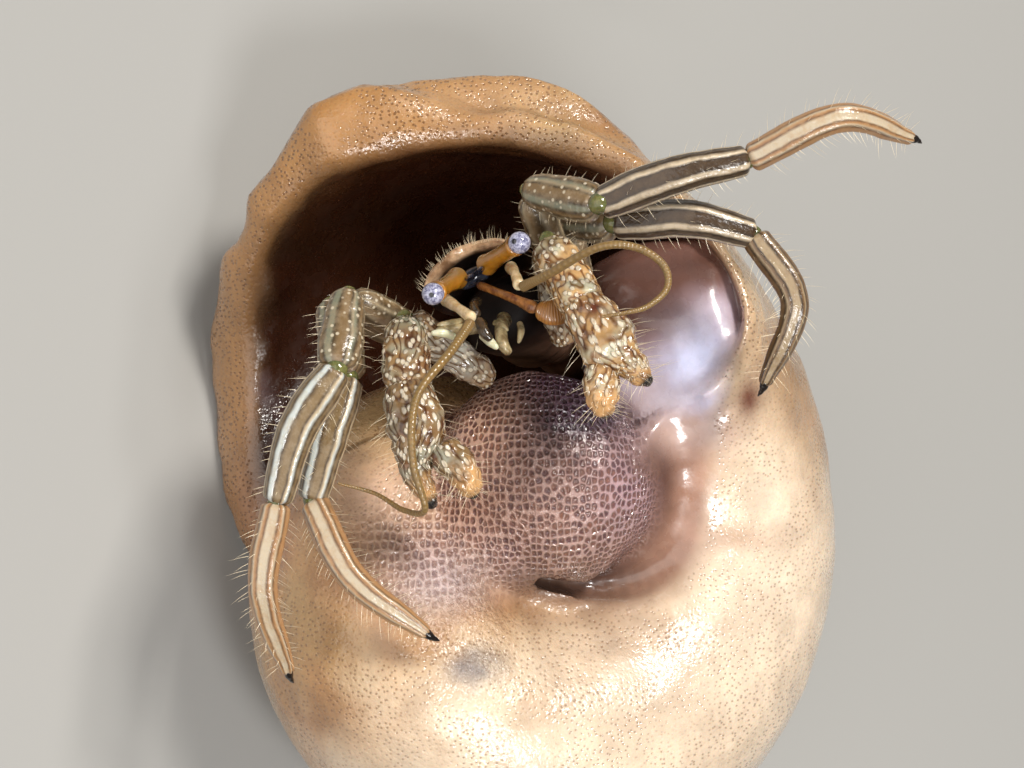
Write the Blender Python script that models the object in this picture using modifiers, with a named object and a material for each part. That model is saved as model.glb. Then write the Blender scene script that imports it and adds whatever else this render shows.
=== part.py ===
"""A small striped hermit crab looking out of a moon snail shell, life size, at rest on the shell's back.

The crab and the shell are laid out in one frame, in millimetres: X to the right of the shell's mouth, Y into
the shell, Z up along the mouth. An empty then turns the whole of it to the way the shell lies on a floor.
The shell is a whorl that grows along a logarithmic spiral, and each limb is a loft along its own joints.
"""
import math

import bmesh
import bpy
from mathutils import Euler, Vector

MM = 0.001

# ---------------------------------------------------------------- the shell's growth, in millimetres and degrees
SHELL_SIZE = 26.3          # reach of the last whorl from the axis, at the lip, before the crust
WHORL_RATE = 1.95          # how many times bigger each whorl is than the one before it
AXIS_TO_CENTRE = 0.505     # the tube's centre from the axis, as a share of the size
TUBE_ACROSS = 0.49         # the tube's half width away from the axis
TUBE_ALONG = 0.494         # the tube's half height along the axis
TUBE_DROP = 0.613          # the tube's centre below the apex
LEAD_BASE = 42.0           # how far the lip runs ahead at the base end of the mouth
LEAD_SPOUT = 14.0          # and a little more at its end, where the mouth has its spout
LEAD_BACK = 13.0           # and how far it falls behind at its back
LEAD_SUTURE = 62.0         # with a longer run along the suture, where it joins the whorl before
WALL = 1.25                # shell and crust together
PILLAR = 2.4               # the wall is this much thicker beside the axis
LIP_FOLD = 1.2             # the crust folds this far into the mouth at its top
CAVITY_TURNS_TO = 275.0    # the hollow runs this far back from the lip
SHELL_TURN = Euler((math.radians(126.4), math.radians(-64.9), math.radians(-176.0)))
APEX = Vector((-7.7, 19.0, -14.7))

# How far the crust stands out round the lip: places round the tube in degrees, each with its stand-out.
LIP_CRUST = (
    (-105, 0.3), (-88, 0.4), (-70, 0.5), (-54, 0.5), (-42, 0.7), (-33, 2.3), (-25, 3.8), (-17, 3.8),
    (-12.5, 2.4), (-8, 4.3), (-1, 4.5), (10, 3.8), (24, 3.2), (40, 2.9), (56, 4.2), (73, 4.7),
    (90, 4.0), (106, 3.2), (122, 1.5), (143, 0.2), (166, 0.0), (188, 0.0), (210, 0.0), (233, 0.1),
)

# ---------------------------------------------------------------- the way it lies
# The shell's own steadiest rest: on its spire and the shoulder of its last whorl, with the mouth up and
# toward the front. The place puts the lowest points 0.3 mm under the floor, where small flats are cut.
REST_TURN = Euler((math.radians(-79.7), math.radians(-26.1), math.radians(67.4)))
REST_PLACE = Vector((-4.8, -3.01, 22.23))

# ---------------------------------------------------------------- the crab's own directions
CRAB_LEFT = Vector((0.883, 0.0, 0.469))
CRAB_BACK = Vector((-0.469, 0.0, 0.883))

# Joint places of the four walking legs: hip (to the crab's left, up its back, and back), then merus end, carpus end, propodus bow and end, dactyl bow and end.
LEG_JOINTS = {
    "leg_2_right": (
        (-3.9, -1.8, 3.4), (-8.9, -2.2, 4.9), (-9.3, -4.4, 0.8),
        (-11.3, -5.2, -2.4), (-12.4, -5.0, -6.2), (-13.1, -5.2, -10.9), (-12.0, -3.2, -15.6),
    ),
    "leg_3_right": (
        (-4.0, -2.0, 5.6), (-10.2, 1.2, 4.5), (-9.0, -1.5, 0.3),
        (-9.9, -3.0, -2.9), (-10.7, -3.6, -6.2), (-8.4, -5.0, -10.2), (-4.4, -4.6, -13.3),
    ),
    "leg_2_left": (
        (3.9, -1.6, 3.4), (0.9, 0.0, 10.8), (4.7, -2.8, 9.7),
        (8.6, -3.9, 11.1), (12.6, -3.6, 12.0), (17.4, -4.6, 14.1), (21.8, -2.4, 13.3),
    ),
    "leg_3_left": (
        (4.0, -1.9, 5.6), (2.9, 3.3, 9.5), (5.6, -0.7, 8.9),
        (9.6, -2.0, 9.0), (13.2, -1.6, 8.2), (15.4, -2.0, 4.4), (13.9, -0.8, -0.1),
    ),
}

OLIVE = (0.20, 0.17, 0.09)
TAN = (0.62, 0.40, 0.20)
HORN = (0.02, 0.015, 0.012)
CREAM = (0.72, 0.62, 0.45)
CRUST = (0.66, 0.46, 0.27)
AMBER = (0.72, 0.33, 0.05)
FLESH = (0.45, 0.30, 0.20)


def clear_scene():
    for obj in list(bpy.data.objects):
        bpy.data.objects.remove(obj, do_unlink=True)


def new_collection(name):
    collection = bpy.data.collections.new(name)
    bpy.context.scene.collection.children.link(collection)
    return collection


def material(name, colour, roughness):
    finish = bpy.data.materials.get(name)
    if finish is None:
        finish = bpy.data.materials.new(name)
        finish.use_nodes = True
        principled = finish.node_tree.nodes["Principled BSDF"]
        principled.inputs["Base Color"].default_value = (*colour, 1.0)
        principled.inputs["Roughness"].default_value = roughness
        principled.inputs["Metallic"].default_value = 0.0
        finish.diffuse_color = (*colour, 1.0)
    return finish


def add_object(name, bm, place, finish, smooth=40.0):
    bmesh.ops.recalc_face_normals(bm, faces=bm.faces)
    mesh = bpy.data.meshes.new(name)
    bm.to_mesh(mesh)
    bm.free()
    mesh.materials.append(finish)
    mesh.shade_smooth()
    mesh.set_sharp_from_angle(angle=math.radians(smooth))
    obj = bpy.data.objects.new(name, mesh)
    obj.location = place * MM
    obj.parent = REST_POSE
    PARTS.objects.link(obj)
    return obj


def helper(obj):
    PARTS.objects.unlink(obj)
    CUTTERS.objects.link(obj)
    obj.hide_render = True
    obj.display_type = "WIRE"
    return obj


def boolean(obj, other, operation):
    modifier = obj.modifiers.new(other.name, "BOOLEAN")
    modifier.operation = operation
    modifier.solver = "EXACT"
    modifier.object = other


# ================================================================ shapes shared by the limbs
def mix(values, f):
    """The value at f, from 0 to 1, along evenly spaced values."""
    place = f * (len(values) - 1)
    i = min(int(place), len(values) - 2)
    return values[i] + (values[i + 1] - values[i]) * (place - i)


def curve_point(points, f):
    """A smooth curve through the points, with f from 0 to 1."""
    place = f * (len(points) - 1)
    i = min(int(place), len(points) - 2)
    t = place - i
    b = points[i]
    c = points[i + 1]
    a = points[i - 1] if i else b * 2 - c
    d = points[i + 2] if i + 2 < len(points) else c * 2 - b
    return 0.5 * (
        b * 2 + (c - a) * t + (a * 2 - b * 5 + c * 4 - d) * t ** 2 + (b * 3 - a - c * 3 + d) * t ** 3
    )


def loft(name, points, widths, depths, facing, finish, sides=8, stations=(0, 0.08, 0.36, 0.64, 0.92, 1),
         ends=(0.6, 0.6)):
    """A closed tube along points. depths are measured along facing, and widths across it."""
    points = [Vector(p) for p in points]
    start = points[0]
    facing = Vector(facing)
    bm = bmesh.new()
    rings = []
    for f in stations:
        centre = curve_point(points, f)
        along = (curve_point(points, min(f + 0.02, 1.0)) - curve_point(points, max(f - 0.02, 0.0))).normalized()
        deep = (facing - along * facing.dot(along)).normalized()
        wide = along.cross(deep)
        scale = 1.0
        if f == stations[0]:
            scale = ends[0]
        if f == stations[-1]:
            scale = ends[1]
        half_width = mix(widths, f) * 0.5 * scale
        half_depth = mix(depths, f) * 0.5 * scale
        ring = []
        for k in range(sides):
            turn = math.tau * (k + 0.5) / sides
            offset = wide * math.cos(turn) * half_width + deep * math.sin(turn) * half_depth
            ring.append(bm.verts.new((centre + offset - start) * MM))
        rings.append(ring)
    for lower, upper in zip(rings, rings[1:]):
        for k in range(sides):
            bm.faces.new((lower[k], lower[(k + 1) % sides], upper[(k + 1) % sides], upper[k]))
    bm.faces.new(rings[0])
    bm.faces.new(rings[-1])
    return add_object(name, bm, start, finish)


def shorten(a, b, at_a, at_b):
    """The points a and b, each moved toward the other."""
    a = Vector(a)
    b = Vector(b)
    along = (b - a).normalized()
    return a + along * at_a, b - along * at_b


# ================================================================ the shell
def shell_size_at(t):
    return SHELL_SIZE * math.exp(-math.log(WHORL_RATE) * math.radians(t) / math.tau)


def bell(x, middle, spread):
    """1 at the middle, falling smoothly to 0, on a circle of 360."""
    away = (x - middle + 180.0) % 360.0 - 180.0
    return math.exp(-((away / spread) ** 2))


def shell_point(t, u, stand_out):
    """A point of the whorl t degrees back from the lip and u degrees round the tube, in the shell's own frame.

    u is 0 away from the axis, 90 toward the apex, 180 at the axis and 270 at the base.
    """
    size = shell_size_at(t)
    angle = math.radians(u)
    if math.sin(angle) > 0:
        lead = LEAD_BACK * math.sin(angle) + LEAD_SUTURE * bell(u, 120.0, 30.0)
    else:
        lead = LEAD_BASE * math.sin(angle) - LEAD_SPOUT * bell(u, 262.0, 25.0) * math.exp(-max(t, 0.0) / 45.0)
    turn = math.radians(t - lead)
    out = size * (AXIS_TO_CENTRE + TUBE_ACROSS * math.cos(angle)) + stand_out * math.cos(angle)
    height = size * (-TUBE_DROP + TUBE_ALONG * math.sin(angle)) + stand_out * math.sin(angle)
    return Vector((math.cos(turn) * out, math.sin(turn) * out, height))


def even_places(count):
    return [360.0 * k / count for k in range(count)]


def sweep(bm, rings, places, stand_out):
    """Rings of the whorl at each t, joined, with a fan of faces from the tube's centre over each end."""
    made = []
    for t in rings:
        made.append([bm.verts.new(shell_point(t, u, stand_out(t, u)) * MM) for u in places])
    count = len(places)
    for lower, upper in zip(made, made[1:]):
        for k in range(count):
            bm.faces.new((lower[k], lower[(k + 1) % count], upper[(k + 1) % count], upper[k]))
    bmesh.ops.triangulate(bm, faces=bm.faces, quad_method="SHORT_EDGE")
    for t, ring in ((rings[0], made[0]), (rings[-1], made[-1])):
        size = shell_size_at(t)
        turn = math.radians(t)
        out = size * AXIS_TO_CENTRE
        middle = bm.verts.new(Vector((math.cos(turn) * out, math.sin(turn) * out, -TUBE_DROP * size)) * MM)
        for k in range(count):
            bm.faces.new((ring[k], ring[(k + 1) % count], middle))


def step_range(start, stop, step):
    count = max(int(round((stop - start) / step)), 1)
    return [start + (stop - start) * i / count for i in range(count + 1)]


LIP_ROLL = ((-2.8, 0.35), (-2.2, 0.72), (-0.8, 0.95), (2.0, 1.0), (7.0, 0.88), (14.0, 0.45), (24.0, 0.15), (36.0, 0.03))


def whorl_outside(t, u):
    share = dict(LIP_ROLL).get(t, 0.0)
    return share * dict(LIP_CRUST)[u]


def cavity_outside(t, u):
    """The hollow is flush with the lip, but for a fold of crust at the top, and then leaves the wall."""
    wall = WALL * min(max((t + 2.0) / 20.0, 0.0), 1.0)
    fold = LIP_FOLD * bell(u, 322.0, 30.0)
    pillar = PILLAR * bell(u, 225.0, 34.0) * min(max((t + 2.0) / 14.0, 0.0), 1.0)
    return 0.12 - (max(wall, fold) + pillar) * (shell_size_at(t) / SHELL_SIZE) ** 0.4


def make_shell():
    finish = material("crusted shell", CRUST, 0.35)

    bm = bmesh.new()
    sweep(bm, [place for place, _ in LIP_ROLL] + step_range(50.0, 300.0, 16.0),
          [place for place, _ in LIP_CRUST], whorl_outside)
    shell = add_object("shell", bm, APEX, finish)
    shell.rotation_euler = SHELL_TURN

    bm = bmesh.new()
    sweep(bm, [-15.0, -3.0, 4.0, 11.0] + step_range(19.0, CAVITY_TURNS_TO, 18.0), even_places(16), cavity_outside)
    hollow = helper(add_object("shell hollow", bm, APEX, finish))
    hollow.rotation_euler = SHELL_TURN
    boolean(shell, hollow, "DIFFERENCE")

    bm = bmesh.new()
    sweep(bm, step_range(280.0, 580.0, 17.0), even_places(18), lambda t, u: -0.03)
    second = helper(add_object("second whorl", bm, APEX, finish))
    second.rotation_euler = SHELL_TURN
    boolean(shell, second, "UNION")

    bm = bmesh.new()
    sweep(bm, step_range(560.0, 860.0, 20.0), even_places(14), lambda t, u: -0.03)
    third = helper(add_object("third whorl", bm, APEX, finish))
    third.rotation_euler = SHELL_TURN
    boolean(shell, third, "UNION")

    bm = bmesh.new()
    sweep(bm, step_range(840.0, 1120.0, 28.0), even_places(10), lambda t, u: -0.03)
    fourth = helper(add_object("fourth whorl", bm, APEX, finish))
    fourth.rotation_euler = SHELL_TURN
    boolean(shell, fourth, "UNION")

    bm = bmesh.new()
    bmesh.ops.create_uvsphere(bm, u_segments=10, v_segments=6, radius=1.6 * MM)
    tip = helper(add_object("shell tip", bm, APEX + SHELL_TURN.to_matrix() @ Vector((0.0, 0.0, -1.75)), finish))
    boolean(shell, tip, "UNION")

    bm = bmesh.new()
    bmesh.ops.create_uvsphere(bm, u_segments=14, v_segments=10, radius=1.0)
    bmesh.ops.scale(bm, vec=Vector((4.2, 4.2, 9.7)) * MM, verts=bm.verts)
    core = helper(add_object("shell core", bm, APEX + SHELL_TURN.to_matrix() @ Vector((0.0, 0.0, -11.8)), finish))
    core.rotation_euler = SHELL_TURN
    boolean(shell, core, "UNION")

    bm = bmesh.new()
    bmesh.ops.create_uvsphere(bm, u_segments=20, v_segments=12, radius=1.0)
    bmesh.ops.scale(bm, vec=Vector((6.4, 5.0, 6.1)) * MM, verts=bm.verts)
    callus = helper(add_object("callus", bm, Vector((1.8, 4.2, -5.5)), finish))
    callus.rotation_euler = (0.0, math.radians(20.0), 0.0)
    boolean(shell, callus, "UNION")

    bm = bmesh.new()
    bmesh.ops.create_cube(bm, size=60.0 * MM)
    floor = helper(add_object("floor cut", bm, Vector((0.0, 0.0, -30.0)), finish))
    floor.parent = None
    boolean(shell, floor, "DIFFERENCE")


# ================================================================ the crab's body
def body_point(side, up, back):
    """A point of the head and chest: side to the crab's left, up its back, and back into the shell."""
    return Vector((-2.2, 0.0, 5.6)) + CRAB_LEFT * side + CRAB_BACK * up + Vector((0.35 * back, back, -0.12 * back))


def make_body():
    flesh = material("soft body", FLESH, 0.5)
    plate = material("shield", TAN, 0.4)

    loft("thorax", [body_point(0, -1.4, 1.6), body_point(0, -1.3, 4.0), body_point(0, -1.2, 7.4)],
         [4.6, 6.0, 6.2, 6.0, 5.4], [3.2, 3.9, 4.2, 4.3, 4.2], CRAB_BACK, flesh, sides=12, ends=(0.75, 0.75))

    bm = bmesh.new()
    rows = []
    for i in range(6):
        f = i / 5
        row = []
        for k in range(7):
            g = k / 3 - 1.0
            half = 3.35 - 0.5 * (2 * f - 1) ** 2 - 0.15 * f
            side = half * math.sin(g * 1.35) / math.sin(1.35)
            up = 1.75 - 0.35 * (1 - f) ** 2 - 1.25 * g * g
            row.append(bm.verts.new(body_point(side, up, 0.7 + 5.7 * f) * MM))
        rows.append(row)
    for lower, upper in zip(rows, rows[1:]):
        for k in range(6):
            bm.faces.new((lower[k], lower[k + 1], upper[k + 1], upper[k]))
    shield = add_object("shield", bm, Vector(), plate)
    solid = shield.modifiers.new("thickness", "SOLIDIFY")
    solid.thickness = 0.5 * MM
    solid.offset = 0.0

    loft("carapace_rear", [body_point(0, -1.1, 7.6), body_point(0, -1.2, 9.2), body_point(0.5, -1.6, 11.0)],
         [5.6, 6.0, 5.8, 5.2], [4.4, 5.0, 5.0, 4.6], CRAB_BACK, flesh, sides=10, ends=(0.8, 0.7))


def abdomen_point(t):
    size = shell_size_at(t)
    turn = math.radians(t)
    inside = Vector((math.cos(turn) * 0.67 * size, math.sin(turn) * 0.67 * size, -0.52 * size))
    return APEX + SHELL_TURN.to_matrix() @ inside


def make_abdomen():
    flesh = material("soft body", FLESH, 0.5)
    inward = Vector((0.6, -0.77, 0.25))
    neck = body_point(0.6, -1.5, 11.7)
    front = [neck, (neck + abdomen_point(70.0)) * 0.5 + Vector((0.3, 1.4, 0.4)), abdomen_point(72.0),
             abdomen_point(90.0), abdomen_point(108.0)]
    loft("abdomen_1", front, [4.8, 5.8, 6.2, 6.0], [4.4, 5.4, 5.8, 5.8], inward, flesh, sides=10,
         stations=(0, 0.05, 0.22, 0.4, 0.6, 0.8, 0.95, 1), ends=(0.75, 0.8))
    for number, (start, stop) in enumerate(((112.0, 166.0), (170.0, 224.0)), 2):
        points = [abdomen_point(start + (stop - start) * i / 4) for i in range(5)]
        sizes = [0.27 * (1.0 - 0.0012 * (start - 60.0)) * shell_size_at(start + (stop - start) * i / 4) for i in range(5)]
        loft("abdomen_%d" % number, points, sizes, sizes, inward, flesh, sides=10,
             stations=(0, 0.06, 0.3, 0.5, 0.7, 0.94, 1), ends=(0.8, 0.8))
    points = [abdomen_point(t) for t in (228.0, 240.0, 252.0)]
    loft("tail_fan", points, [2.6, 3.4, 2.4], [1.8, 1.6, 1.0], inward, material("tail fan", TAN, 0.4), sides=8,
         ends=(0.7, 0.5))


# ================================================================ head
def make_eye(side, base, cornea):
    amber = material("eyestalk", AMBER, 0.3)
    base = Vector(base)
    cornea = Vector(cornea)
    start, stop = shorten(base, cornea, 0.0, 0.72)
    loft("eyestalk_" + side, [start, stop], [1.35, 0.98, 0.92, 1.05], [1.3, 1.0, 0.92, 1.05], CRAB_BACK, amber,
         sides=10, ends=(0.85, 0.92))
    bm = bmesh.new()
    bmesh.ops.create_uvsphere(bm, u_segments=12, v_segments=7, radius=0.6 * MM)
    eye = add_object("eye_" + side, bm, cornea, material("cornea", (0.55, 0.56, 0.70), 0.15))
    eye.rotation_euler = (cornea - base).to_track_quat("Z", "X").to_euler()


def make_head():
    dark = material("dark plates", (0.03, 0.035, 0.05), 0.25)
    make_eye("right", (-2.75, 0.1, 5.9), (-4.25, -3.2, 4.85))
    make_eye("left", (-1.55, 0.1, 6.55), (0.4, -3.2, 7.6))
    loft("ocular_plates", [(-3.0, 0.9, 5.2), (-2.1, 0.75, 5.65), (-1.2, 0.9, 6.1)], [0.9, 1.0, 0.9],
         [0.8, 1.1, 0.8], (0.0, -1.0, 0.0), dark, sides=8)

    stem = material("antennule", (0.62, 0.27, 0.06), 0.35)
    loft("antennule_left", [(-1.0, -0.2, 5.0), (0.0, -1.8, 4.6), (1.3, -3.1, 3.8)],
         [0.7, 0.6, 0.6], [0.6, 0.55, 0.55], CRAB_BACK, stem)
    loft("antennule_left_tip", [(1.6, -3.3, 3.6), (2.3, -3.2, 3.2), (2.75, -3.0, 3.6), (2.6, -2.9, 4.4)],
         [0.85, 1.0, 0.9, 0.55], [0.6, 0.6, 0.6, 0.5], (0.0, -1.0, 0.0), stem)
    loft("antennule_right", [(-1.9, -0.2, 4.6), (-2.1, -1.5, 4.3), (-1.9, -2.5, 3.7)],
         [0.6, 0.55, 0.55], [0.6, 0.55, 0.55], CRAB_BACK, stem)
    loft("antennule_right_tip", [(-1.8, -2.7, 3.45), (-1.5, -3.0, 2.8), (-1.15, -3.0, 2.4)],
         [0.7, 0.8, 0.5], [0.6, 0.6, 0.5], (0.0, -1.0, 0.0), stem)


def tube(name, points, radii, finish, steps):
    """A round feeler along a smooth curve through the points."""
    points = [Vector(p) for p in points]
    data = bpy.data.curves.new(name, "CURVE")
    data.dimensions = "3D"
    data.bevel_depth = MM
    data.bevel_resolution = 1
    data.use_fill_caps = True
    spline = data.splines.new("POLY")
    spline.points.add(steps)
    for i in range(steps + 1):
        f = i / steps
        spline.points[i].co = (*((curve_point(points, f) - points[0]) * MM), 1.0)
        spline.points[i].radius = mix(radii, f)
    data.materials.append(finish)
    obj = bpy.data.objects.new(name, data)
    obj.location = points[0] * MM
    obj.parent = REST_POSE
    PARTS.objects.link(obj)
    return obj


def make_antennae():
    feeler = material("antenna", (0.42, 0.33, 0.13), 0.35)
    pale = material("antenna stem", CREAM, 0.35)
    loft("antenna_right_stem", [(-3.75, -0.6, 4.7), (-2.9, -2.6, 4.1), (-2.1, -4.0, 3.5)],
         [0.8, 0.7, 0.62, 0.66], [0.8, 0.7, 0.62, 0.66], CRAB_BACK, pale)
    tube("antenna_right_a", [(-2.2, -4.3, 3.2), (-3.2, -5.8, 1.7), (-4.7, -7.4, -0.3)], [0.32, 0.29, 0.27], feeler, 6)
    tube("antenna_right_b", [(-4.85, -7.65, -0.65), (-5.1, -8.0, -2.0), (-5.0, -8.2, -4.2), (-4.45, -7.9, -6.4)],
         [0.27, 0.26, 0.25], feeler, 7)
    tube("antenna_right_c", [(-4.65, -7.5, -6.75), (-5.6, -6.5, -6.55), (-7.2, -5.4, -5.75), (-9.2, -5.4, -5.2)],
         [0.25, 0.25, 0.25], feeler, 7)
    loft("antenna_left_stem", [(-0.1, -0.6, 6.5), (0.15, -2.4, 6.0), (0.4, -4.0, 5.2)],
         [0.8, 0.7, 0.6, 0.62], [0.8, 0.7, 0.6, 0.62], CRAB_BACK, pale)
    tube("antenna_left_a", [(0.65, -4.35, 5.1), (1.8, -5.5, 5.7), (4.4, -7.4, 7.0)], [0.32, 0.28, 0.27], feeler, 6)
    tube("antenna_left_b", [(4.75, -7.5, 7.1), (6.3, -7.7, 7.0), (7.7, -7.9, 6.1), (7.9, -8.1, 4.9)],
         [0.27, 0.26, 0.25], feeler, 7)
    tube("antenna_left_c", [(7.68, -8.2, 4.55), (6.9, -8.4, 3.95), (5.7, -8.5, 3.6), (4.5, -8.6, 3.4)],
         [0.25, 0.25, 0.25], feeler, 6)


def make_mouth_legs():
    pale = material("mouth legs", (0.35, 0.28, 0.15), 0.4)
    loft("maxilliped_right", [(-1.6, 0.3, 3.3), (-2.6, -1.4, 3.0), (-3.7, -2.0, 2.9), (-4.3, -2.0, 2.5)],
         [0.9, 0.8, 0.7, 0.6], [0.8, 0.7, 0.65, 0.55], CRAB_BACK, pale)
    loft("maxilliped_left", [(-0.4, 0.4, 3.7), (-0.6, -1.6, 3.0), (-0.5, -2.4, 2.2), (-0.1, -2.4, 1.6)],
         [0.9, 0.8, 0.7, 0.6], [0.8, 0.7, 0.65, 0.55], CRAB_LEFT, pale)


# ================================================================ limbs
def make_leg(name):
    hip, knee, ankle, bow, wrist, arch, toe = [Vector(p) for p in LEG_JOINTS[name]]
    hip = body_point(*hip)
    shaft = material("leg", OLIVE, 0.3)
    foot = material("leg end", TAN, 0.3)
    facing = Vector((0.0, -1.0, 0.0))
    start, stop = shorten(hip, knee, 0.0, 0.8)
    loft(name + "_merus", [start, stop], [1.3, 1.9, 1.9, 1.6], [1.2, 1.4, 1.4, 1.3], CRAB_BACK, shaft,
         ends=(0.6, 0.7))
    start, stop = shorten(knee, ankle, 0.35, 0.25)
    loft(name + "_carpus", [start, stop], [1.35, 1.85, 2.0, 1.7], [1.2, 1.5, 1.6, 1.4], facing, shaft, ends=(0.75, 0.8))
    start, middle, stop = ankle, bow, wrist
    start = start + (middle - start).normalized() * 0.25
    stop = stop - (stop - middle).normalized() * 0.2
    loft(name + "_propodus", [start, middle, stop], [1.7, 2.05, 1.95, 1.75, 1.4], [1.4, 1.5, 1.5, 1.35, 1.15],
         facing, shaft, stations=(0, 0.07, 0.35, 0.65, 0.93, 1), ends=(0.8, 0.85))
    start = wrist + (arch - wrist).normalized() * 0.2
    loft(name + "_dactyl", [start, arch, toe], [1.2, 1.3, 1.15, 0.95, 0.62], [1.0, 1.05, 0.95, 0.8, 0.56],
         facing, foot, stations=(0, 0.06, 0.28, 0.5, 0.75, 1), ends=(0.8, 0.9))
    onward = (toe - arch).normalized()
    loft(name + "_claw", [toe + onward * 0.12, toe + onward * 0.8], [0.5, 0.5, 0.42], [0.5, 0.5, 0.42], facing,
         material("horny tip", HORN, 0.25), sides=6, stations=(0, 0.5, 1), ends=(1.0, 0.75))


def make_claw(side, shoulder, elbow, wrist, palm_end, thumb, hinge, finger):
    """A pincer arm. The thumb is one piece with the palm, and the finger is hinged beside it."""
    name = "claw_" + side
    shell_colour = material("pincer", CREAM, 0.35)
    facing = Vector((0.0, -1.0, 0.0))
    shoulder, elbow, wrist, palm_end = Vector(shoulder), Vector(elbow), Vector(wrist), Vector(palm_end)
    start, stop = shorten(shoulder, elbow, 0.0, 0.75)
    loft(name + "_merus", [start, stop], [1.4, 1.9, 2.0, 1.8], [1.3, 1.6, 1.7, 1.5], facing, shell_colour,
         ends=(0.6, 0.75))
    start, stop = shorten(elbow, wrist, 0.6, 0.2)
    loft(name + "_carpus", [start, stop], [1.6, 2.3, 2.4, 1.9], [1.5, 2.0, 2.0, 1.7], facing, shell_colour,
         sides=10, ends=(0.7, 0.85))
    start, stop = shorten(wrist, palm_end, 0.15, 0.0)
    thumb = [Vector(p) for p in thumb]
    loft(name + "_palm", [start, stop] + thumb, [1.9, 2.9, 3.2, 1.9, 1.5, 1.25, 0.8],
         [1.6, 2.2, 2.3, 1.7, 1.35, 1.15, 0.7], facing, shell_colour, sides=10,
         stations=(0, 0.06, 0.18, 0.33, 0.43, 0.62, 0.82, 1), ends=(0.8, 0.75))
    loft(name + "_finger", [Vector(hinge)] + [Vector(p) for p in finger], [1.4, 1.6, 1.35, 0.85],
         [1.2, 1.4, 1.2, 0.75], facing, shell_colour, stations=(0, 0.1, 0.4, 0.7, 1), ends=(0.75, 0.75))


def make_claws():
    make_claw("right", body_point(-2.3, -4.6, 2.4), (-5.9, -1.4, 3.6), (-5.5, -4.7, -0.3), (-5.05, -5.3, -2.4),
              [(-5.1, -5.5, -4.4), (-4.1, -5.4, -6.55)],
              (-3.35, -5.6, -3.45), [(-2.5, -5.8, -4.8), (-1.9, -5.7, -6.0)])
    make_claw("left", body_point(2.4, -4.6, 2.6), (1.95, -1.4, 7.9), (3.75, -5.1, 4.1), (5.15, -6.0, 2.0),
              [(6.2, -6.3, 0.95), (7.15, -6.6, -0.1)],
              (4.45, -6.3, 0.55), [(4.65, -6.5, -0.75), (4.9, -6.5, -1.8)])


def make_hidden_legs():
    """The two short pairs at the back, which hold the shell from inside."""
    finish = material("leg", OLIVE, 0.3)
    for side, sign in (("right", -1), ("left", 1)):
        loft("leg_4_" + side, [body_point(sign * 3.35, -0.6, 8.2), body_point(sign * 3.9, 0.1, 6.9),
                               body_point(sign * 4.1, 0.5, 5.4)],
             [0.9, 1.1, 0.9, 0.8], [0.8, 0.9, 0.8, 0.7], CRAB_BACK, finish)
        loft("leg_5_" + side, [body_point(sign * 2.2, 1.75, 10.2), body_point(sign * 2.6, 2.1, 8.8),
                               body_point(sign * 2.4, 2.3, 7.4)],
             [0.8, 0.8, 0.7, 0.6], [0.7, 0.7, 0.6, 0.6], CRAB_LEFT, finish)


# ================================================================ build
clear_scene()
PARTS = new_collection("hermit crab in a moon snail shell")
CUTTERS = new_collection("cutters")
REST_POSE = bpy.data.objects.new("rest pose", None)
REST_POSE.rotation_euler = REST_TURN
REST_POSE.location = REST_PLACE * MM
PARTS.objects.link(REST_POSE)

make_shell()
make_body()
make_abdomen()
make_head()
make_antennae()
make_mouth_legs()
for leg in LEG_JOINTS:
    make_leg(leg)
make_claws()
make_hidden_legs()
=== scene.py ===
import math

import bpy
import numpy as np
from mathutils import Euler, Matrix, Vector, kdtree, noise


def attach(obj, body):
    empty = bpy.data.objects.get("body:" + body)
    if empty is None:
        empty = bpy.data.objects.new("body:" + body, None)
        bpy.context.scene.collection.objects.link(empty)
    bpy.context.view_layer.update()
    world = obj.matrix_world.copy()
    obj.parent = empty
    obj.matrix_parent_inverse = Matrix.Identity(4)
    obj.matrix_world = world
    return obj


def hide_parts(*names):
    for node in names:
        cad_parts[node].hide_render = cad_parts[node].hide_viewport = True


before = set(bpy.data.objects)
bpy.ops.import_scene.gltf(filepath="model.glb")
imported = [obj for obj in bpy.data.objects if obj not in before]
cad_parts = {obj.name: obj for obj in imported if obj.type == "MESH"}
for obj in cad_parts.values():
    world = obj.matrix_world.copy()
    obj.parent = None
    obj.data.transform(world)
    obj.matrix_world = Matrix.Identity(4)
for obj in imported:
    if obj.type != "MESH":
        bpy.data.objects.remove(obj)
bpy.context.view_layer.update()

# ---------------------------------------------------------------- the last whorl of the moon-snail shell
# One tube of shell that winds round its axis and grows as it goes, with the sea-mat's crust thick and lumpy
# along the lip. It is a grid rolled up along the spiral and capped at both ends. All shapes are given in
# millimetres in the crab's own frame, seen from its front, and are rested on the floor as they are made.
REST_TURN = Euler((math.radians(-79.7), math.radians(-26.1), math.radians(67.4))).to_matrix()
REST_PLACE = Vector((-4.8, -3.01, 22.23))
MM = 0.001
MERGE = 0.000002
SHELL_SIZE = 26.3
WHORL_RATE = 1.95
SHELL_TURN = Euler((math.radians(126.4), math.radians(-64.9), math.radians(-176.0))).to_matrix()
APEX = Vector((-7.7, 19.0, -14.7))
TUBE_OUT = 0.505
TUBE_UP = -0.613
WHORL_ROWS = 230
WHORL_SHARES = (0.0, 0.14, 0.34, 1.0)
WHORL_DEGREES = (-2.8, 8.0, 52.0, 300.0)
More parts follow.
